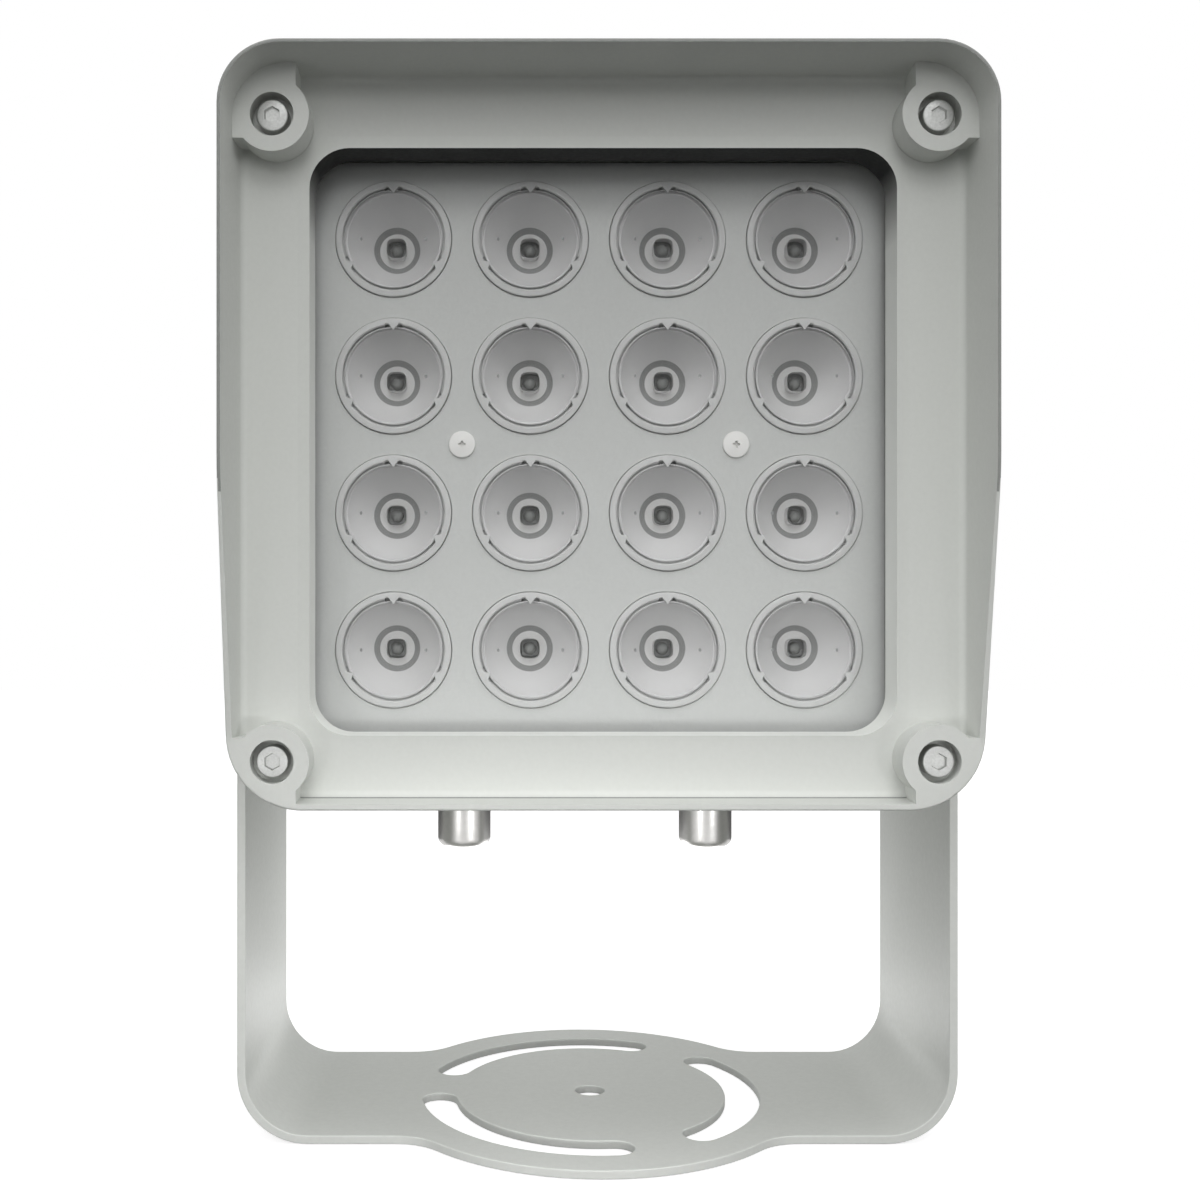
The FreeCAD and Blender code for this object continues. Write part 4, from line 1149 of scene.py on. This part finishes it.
@dataclass
class CableGlands:
    """Two nickel-plated glands under the driver chamber."""

    spacing: float = 80.0
    y: float = 28.6
    nut_bottom: float = 74.2
    nut_top: float = 96.2
    nut_radius: float = 8.7
    nut_round: float = 2.8
    nut_edge: float = 0.4
    mouth_radius: float = 5.25
    bore_radius: float = 6.65
    lip: float = 2.4
    hex_flats: float = 19.0
    hex_bottom: float = 98.2
    hex_top: float = 104.2
    hex_drop: float = 0.8
    hex_cut: float = 1.04
    neck_radius: float = 6.5
    neck_bottom: float = 85.2
    thread_radius: float = 6.0
    thread_top: float = 113.2
    inner_radius: float = 4.0
    round_rows: int = 9
    edge_rows: int = 4
    segments: int = 96

    def nut_shape(self, x: float) -> Shape:
        """Round nut, open below, with a rounded lower edge.

        The rows run from the mouth round the outside to the bore and back over the inner lip.

        Args:
            x: Place of the gland along X.

        Returns:
            The nut's shape.
        """
        rows = [(self.mouth_radius, self.nut_bottom)]
        rows += arc_rows(
            (self.nut_radius - self.nut_round, self.nut_bottom + self.nut_round),
            self.nut_round, -QUARTER_TURN, 0, self.round_rows)
        rows += arc_rows(
            (self.nut_radius - self.nut_edge, self.nut_top - self.nut_edge),
            self.nut_edge, 0, QUARTER_TURN, self.edge_rows)
        rows += [
            (self.bore_radius, self.nut_top),
            (self.bore_radius, self.nut_bottom + self.lip),
            (self.mouth_radius, self.nut_bottom + self.lip),
        ]
        return turned_shape(rows, (x, self.y), Line.UPRIGHT, self.segments, closed=True)

    def body_shape(self, x: float) -> Shape:
        """Hollow body with its hexagon, whose corners are cut back by a cone at both ends.

        The rows run up the outside, from the neck over the hexagon to the end of the thread.

        Args:
            x: Place of the gland along X.

        Returns:
            The body's shape.
        """
        hexagon = hexagon_radius(self.hex_flats, self.segments)
        cut = np.minimum(hexagon, self.hex_flats / 2 * self.hex_cut)
        rows = [
            (self.inner_radius, self.neck_bottom),
            (self.neck_radius, self.neck_bottom),
            (self.neck_radius, self.hex_bottom),
            (cut, self.hex_bottom),
            (hexagon, self.hex_bottom + self.hex_drop),
            (hexagon, self.hex_top - self.hex_drop),
            (cut, self.hex_top),
            (self.thread_radius, self.hex_top),
            (self.thread_radius, self.thread_top),
            (self.inner_radius, self.thread_top),
        ]
        return turned_shape(rows, (x, self.y), Line.UPRIGHT, self.segments, closed=True)

    def build(self) -> None:
        """Adds nut and body of both glands and gives the seals their rubber."""
        for name, side in (("left", -1), ("right", 1)):
            x = side * self.spacing / 2
            nut = write_mesh("clamping_nut_" + name, self.nut_shape(x))
            add_piece(nut, [NICKEL_BRASS], Body.HEAD, "gland_nut_" + name)
            body = write_mesh("gland_shell_" + name, self.body_shape(x))
            add_piece(body, [NICKEL_BRASS], Body.HEAD, "gland_body_" + name)
            dress_node("gland_seal_" + name, SEAL_RUBBER)


@dataclass
class Pivots:
    """Hexagon bolts and washers that the head turns on."""

    z: float = 199.2
    bolt_radius: float = 4.0
    bolt_chamfer: float = 0.5
    inner_end: float = 84.8
    head_start: float = 104.8
    head_end: float = 110.1
    head_flats: float = 13.0
    head_cut: float = 0.97
    head_slope: float = 0.5
    washer_start: float = 103.2
    washer_end: float = 104.8
    washer_radius: float = 8.5
    washer_hole: float = 4.05
    washer_edge: float = 0.3
    edge_rows: int = 4
    segments: int = 96

    def bolt_shape(self, side: int) -> Shape:
        """Hexagon bolt whose outer corners are cut back by a cone.

        The corners drop by a share of what they stand out over the cone's circle.

        Args:
            side: -1 for the bolt on the left, 1 for that on the right.

        Returns:
            The bolt's shape.
        """
        hexagon = hexagon_radius(self.head_flats, self.segments)
        chamfer = self.head_flats / 2 * self.head_cut
        drop = (hexagon - chamfer) * self.head_slope
        rows = [
            (0.0, self.inner_end),
            (self.bolt_radius - self.bolt_chamfer, self.inner_end),
            (self.bolt_radius, self.inner_end + self.bolt_chamfer),
            (self.bolt_radius, self.head_start),
            (hexagon, self.head_start),
            (hexagon, self.head_end - drop),
            (chamfer, self.head_end),
            (0.0, self.head_end),
        ]
        return turned_shape(rows, (0.0, self.z), Line.ACROSS, self.segments, facing=side)

    def washer_shape(self, side: int) -> Shape:
        """Flat washer with its outer edge eased by the press.

        Args:
            side: -1 for the washer on the left, 1 for that on the right.

        Returns:
            The washer's shape.
        """
        rows = [(self.washer_hole, self.washer_start), (self.washer_radius, self.washer_start)]
        rows += arc_rows(
            (self.washer_radius - self.washer_edge, self.washer_end - self.washer_edge),
            self.washer_edge, 0, QUARTER_TURN, self.edge_rows)
        rows.append((self.washer_hole, self.washer_end))
        return turned_shape(
            rows, (0.0, self.z), Line.ACROSS, self.segments, closed=True, facing=side)

    def build(self) -> None:
        """Adds bolts and washers and gives the friction discs their plastic."""
        bolts = write_mesh("tilt_bolts", joined([self.bolt_shape(side) for side in (-1, 1)]))
        add_piece(bolts, [STAINLESS_STEEL], Body.HEAD, "pivot_bolts")
        washers = write_mesh("tilt_washers", joined([self.washer_shape(side) for side in (-1, 1)]))
        add_piece(washers, [STAINLESS_STEEL], Body.HEAD, "pivot_washers")
        dress_node("pivot_discs", FRICTION_PLASTIC)


@dataclass
class Insides:
    """Window, boards and driver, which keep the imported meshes."""

    finishes: tuple[tuple[str, Surface, str], ...] = (
        ("window_glass", COATED_GLASS, "window_glass"),
        ("led_board", GREY_BOARD, "board_aluminium"),
        ("board_screws", ZINC_STEEL, "zinc_steel"),
        ("driver_board", CIRCUIT_BOARD, "circuit_board"),
        ("driver_coil", COPPER_WINDING, "wound_coil"),
        ("driver_capacitors", SLEEVE_PLASTIC, "capacitor_sleeve"),
        ("terminal_block", TERMINAL_PLASTIC, "terminal_plastic"),
    )

    def build(self) -> None:
        """Gives each node its finish."""
        for node, finish, slot in self.finishes:
            dress_node(node, finish)


def stand_lamp(data: bpy.types.Light, place: Triple, aim: Triple) -> bpy.types.Object:
    """Puts a lamp in the scene, out of the camera's sight, turned from its place to its aim.

    Args:
        data: The lamp's data.
        place: Where it stands, in metres.
        aim: The point that it looks at, in metres.

    Returns:
        The new lamp.
    """
    lamp = add_object(data.name, data)
    lamp.visible_camera = False
    lamp.location = place
    lamp.rotation_euler = (Vector(aim) - Vector(place)).to_track_quat("-Z", "Y").to_euler()
    return lamp


@dataclass(frozen=True)
class Spot:
    """One soft-edged spot lamp, in metres, degrees and watts, mirrored by gloss or not."""

    name: str
    place: Triple
    aim: Triple
    radius: float
    cone: float
    power: float
    mirrored: bool = True

    def build(self) -> None:
        """Adds the lamp, turned to its aim."""
        data = bpy.data.lights.new(self.name, "SPOT")
        data.shadow_soft_size = self.radius
        data.spot_size = math.radians(self.cone)
        data.spot_blend = 1.0
        data.energy = self.power
        stand_lamp(data, self.place, self.aim).visible_glossy = self.mirrored


@dataclass(frozen=True)
class Softbox:
    """One soft lamp, in metres and watts."""

    name: str
    place: Triple
    aim: Triple
    width: float
    height: float
    power: float

    def build(self) -> None:
        """Adds the lamp, turned to its aim."""
        data = bpy.data.lights.new(self.name, "AREA")
        data.shape = "RECTANGLE"
        data.size = self.width
        data.size_y = self.height
        data.energy = self.power
        stand_lamp(data, self.place, self.aim)


@dataclass
class Studio:
    """White floor and backdrop, soft lamps and the camera."""

    floor_half: float = 2.0
    floor_drop: float = 0.0002
    floor_matt: str = "#A8A8A8"
    floor_bounce: str = "#383838"
    floor_white: float = 0.82
    sky_side: float = 0.31
    sky_top: float = 0.83
    sky_front: float = 0.33
    card_grey: float = 0.12
    card_height: float = 0.4
    card_outer: Pair = (0.45, 0.03)
    card_inner: Pair = (0.02, 0.45)
    camera_place: Triple = (-0.0261, -0.445, 0.1555)
    camera_lens: float = 42.75
    camera_shift: float = 0.0782
    camera_near: float = 0.01
    lamps: tuple[Spot | Softbox, ...] = (
        Spot("key_spot", (0.0, -1.2, 1.1), (0.0, 0.0, 0.06), 0.3, 52.0, 14.0),
        Spot("top_spot", (0.0, -0.4, 1.4), (0.0, 0.0, 0.06), 0.3, 52.0, 11.5),
        Spot("front_spot", (0.0, -1.4, 0.6), (0.0, 0.0, 0.2), 0.3, 20.0, 25.2, False),
        Spot("left_spot", (-0.35, -0.7, 0.03), (0.1, 0.0, 0.05), 0.05, 30.0, 4.5),
        Spot("right_spot", (0.35, -0.7, 0.03), (-0.1, 0.0, 0.05), 0.05, 30.0, 3.8),
        Spot("arm_spot", (0.3, -0.5, 0.02), (-0.1, 0.0, 0.045), 0.04, 16.0, 3.4),
        Spot("left_wall_spot", (0.7, -0.19, 0.33), (-0.1, -0.07, 0.16), 0.05, 34.0, 1.8, False),
        Spot("right_wall_spot", (-0.7, -0.19, 0.33), (0.1, -0.07, 0.16), 0.05, 34.0, 1.0, False),
        Softbox("floor_bounce", (0.0, 0.1, 0.003), (0.0, 0.1, 1.0), 0.16, 0.08, 0.13),
    )

    def camera_rays(self, tree: bpy.types.NodeTree) -> bpy.types.NodeSocket:
        """Adds a share that is 1 for what the camera sees, straight, mirrored or through glass.

        Args:
            tree: Node tree of the floor's material or of the world.

        Returns:
            The socket that gives the share.
        """
        path = add_node(tree, "ShaderNodeLightPath")
        first = add_node(tree, "ShaderNodeMath", {
            0: path.outputs["Is Camera Ray"], 1: path.outputs["Is Glossy Ray"]}, operation="MAXIMUM")
        second = add_node(tree, "ShaderNodeMath", {
            0: first.outputs[0], 1: path.outputs["Is Transmission Ray"]}, operation="MAXIMUM")
        return second.outputs[0]

    def build_floor(self) -> None:
        """Adds a floor that looks white, keeps the shadow and gives back a plain grey bounce."""
        half = self.floor_half
        corners = [(-half, -half), (half, -half), (half, half), (-half, half)]
        mesh = bpy.data.meshes.new("floor")
        mesh.from_pydata([(x, y, -self.floor_drop) for x, y in corners], [], [(0, 1, 2, 3)])
        add_object("floor", mesh)
        material = empty_material("white_paper_floor")
        tree = material.node_tree
        bounce = add_node(tree, "ShaderNodeBsdfDiffuse", {"Color": linear(self.floor_bounce)})
        matt = add_node(tree, "ShaderNodeBsdfDiffuse", {"Color": linear(self.floor_matt)})
        glow = add_node(tree, "ShaderNodeEmission", {"Strength": self.floor_white})
        bright = add_node(tree, "ShaderNodeAddShader", {0: matt.outputs[0], 1: glow.outputs[0]})
        both = add_node(tree, "ShaderNodeMixShader", {
            0: self.camera_rays(tree), 1: bounce.outputs[0], 2: bright.outputs[0]})
        add_node(tree, "ShaderNodeOutputMaterial", {"Surface": both.outputs[0]})
        mesh.materials.append(material)

    def build_world(self) -> None:
        """Adds a world that looks white and lights softly, more from above and from the front."""
        world = bpy.data.worlds.new("studio")
        bpy.context.scene.world = world
        world.use_nodes = True
        tree = world.node_tree
        tree.nodes.clear()
        direction = add_node(tree, "ShaderNodeTexCoord")
        parts = add_node(tree, "ShaderNodeSeparateXYZ", {0: direction.outputs["Generated"]})
        above = add_node(tree, "ShaderNodeMapRange", {
            "Value": parts.outputs["Z"],
            "To Min": self.sky_side,
            "To Max": self.sky_side + self.sky_top,
        })
        ahead = add_node(tree, "ShaderNodeMapRange", {
            "Value": parts.outputs["Y"], "From Max": -1.0, "To Max": self.sky_front})
        level = add_node(tree, "ShaderNodeMath", {
            0: above.outputs["Result"], 1: ahead.outputs["Result"]}, operation="ADD")
        strength = add_node(tree, "ShaderNodeMix", {
            "Factor": self.camera_rays(tree),
            VALUE_INPUTS[0]: level.outputs[0],
            VALUE_INPUTS[1]: 1.0,
        }, data_type="FLOAT")
        sky = add_node(tree, "ShaderNodeBackground", {
            "Color": (1.0, 1.0, 1.0, 1.0), "Strength": strength.outputs[0]})
        add_node(tree, "ShaderNodeOutputWorld", {"Surface": sky.outputs[0]})

    def build_cards(self) -> None:
        """Adds two grey cards behind the object that only glossy rays see, as painted reflection."""
        corners = [
            (self.card_outer, 0.0),
            (self.card_inner, 0.0),
            (self.card_inner, self.card_height),
            (self.card_outer, self.card_height),
        ]
        points = [(side * x, y, height) for side in (-1, 1) for (x, y), height in corners]
        mesh = bpy.data.meshes.new("reflection_only_cards")
        mesh.from_pydata(points, [], [(0, 1, 2, 3), (4, 5, 6, 7)])
        cards = add_object("reflection_only_cards", mesh)
        # Painted reflection: only glossy rays see the cards
        cards.visible_camera = False
        cards.visible_diffuse = False
        cards.visible_transmission = False
        cards.visible_shadow = False
        material = empty_material("reflection_only_card")
        glow = add_node(material.node_tree, "ShaderNodeEmission", {"Strength": self.card_grey})
        add_node(material.node_tree, "ShaderNodeOutputMaterial", {"Surface": glow.outputs[0]})
        mesh.materials.append(material)

    def build_camera(self) -> None:
        """Adds the camera, level and low in front, as the photograph was taken."""
        data = bpy.data.cameras.new("camera")
        data.lens = self.camera_lens
        data.shift_x = self.camera_shift
        data.clip_start = self.camera_near
        camera = add_object("camera", data)
        camera.location = self.camera_place
        camera.rotation_euler = (math.radians(QUARTER_TURN), 0.0, 0.0)
        bpy.context.scene.camera = camera

    def build(self) -> None:
        """Adds floor, cards, world, lamps and camera."""
        self.build_floor()
        self.build_cards()
        self.build_world()
        for lamp in self.lamps:
            lamp.build()
        self.build_camera()
        bpy.context.scene.view_settings.view_transform = "Standard"


def main() -> None:
    """Builds every sub-assembly in order, then the studio."""
    for assembly in (
        SheetBracket(),
        CastHead(),
        COVER_SCREWS,
        LID_SCREWS,
        OpticArray(),
        CableGlands(),
        Pivots(),
        Insides(),
    ):
        LOG.info("building %s", type(assembly).__name__)
        assembly.build()
    Studio().build()


if __name__ == "__main__":
    main()
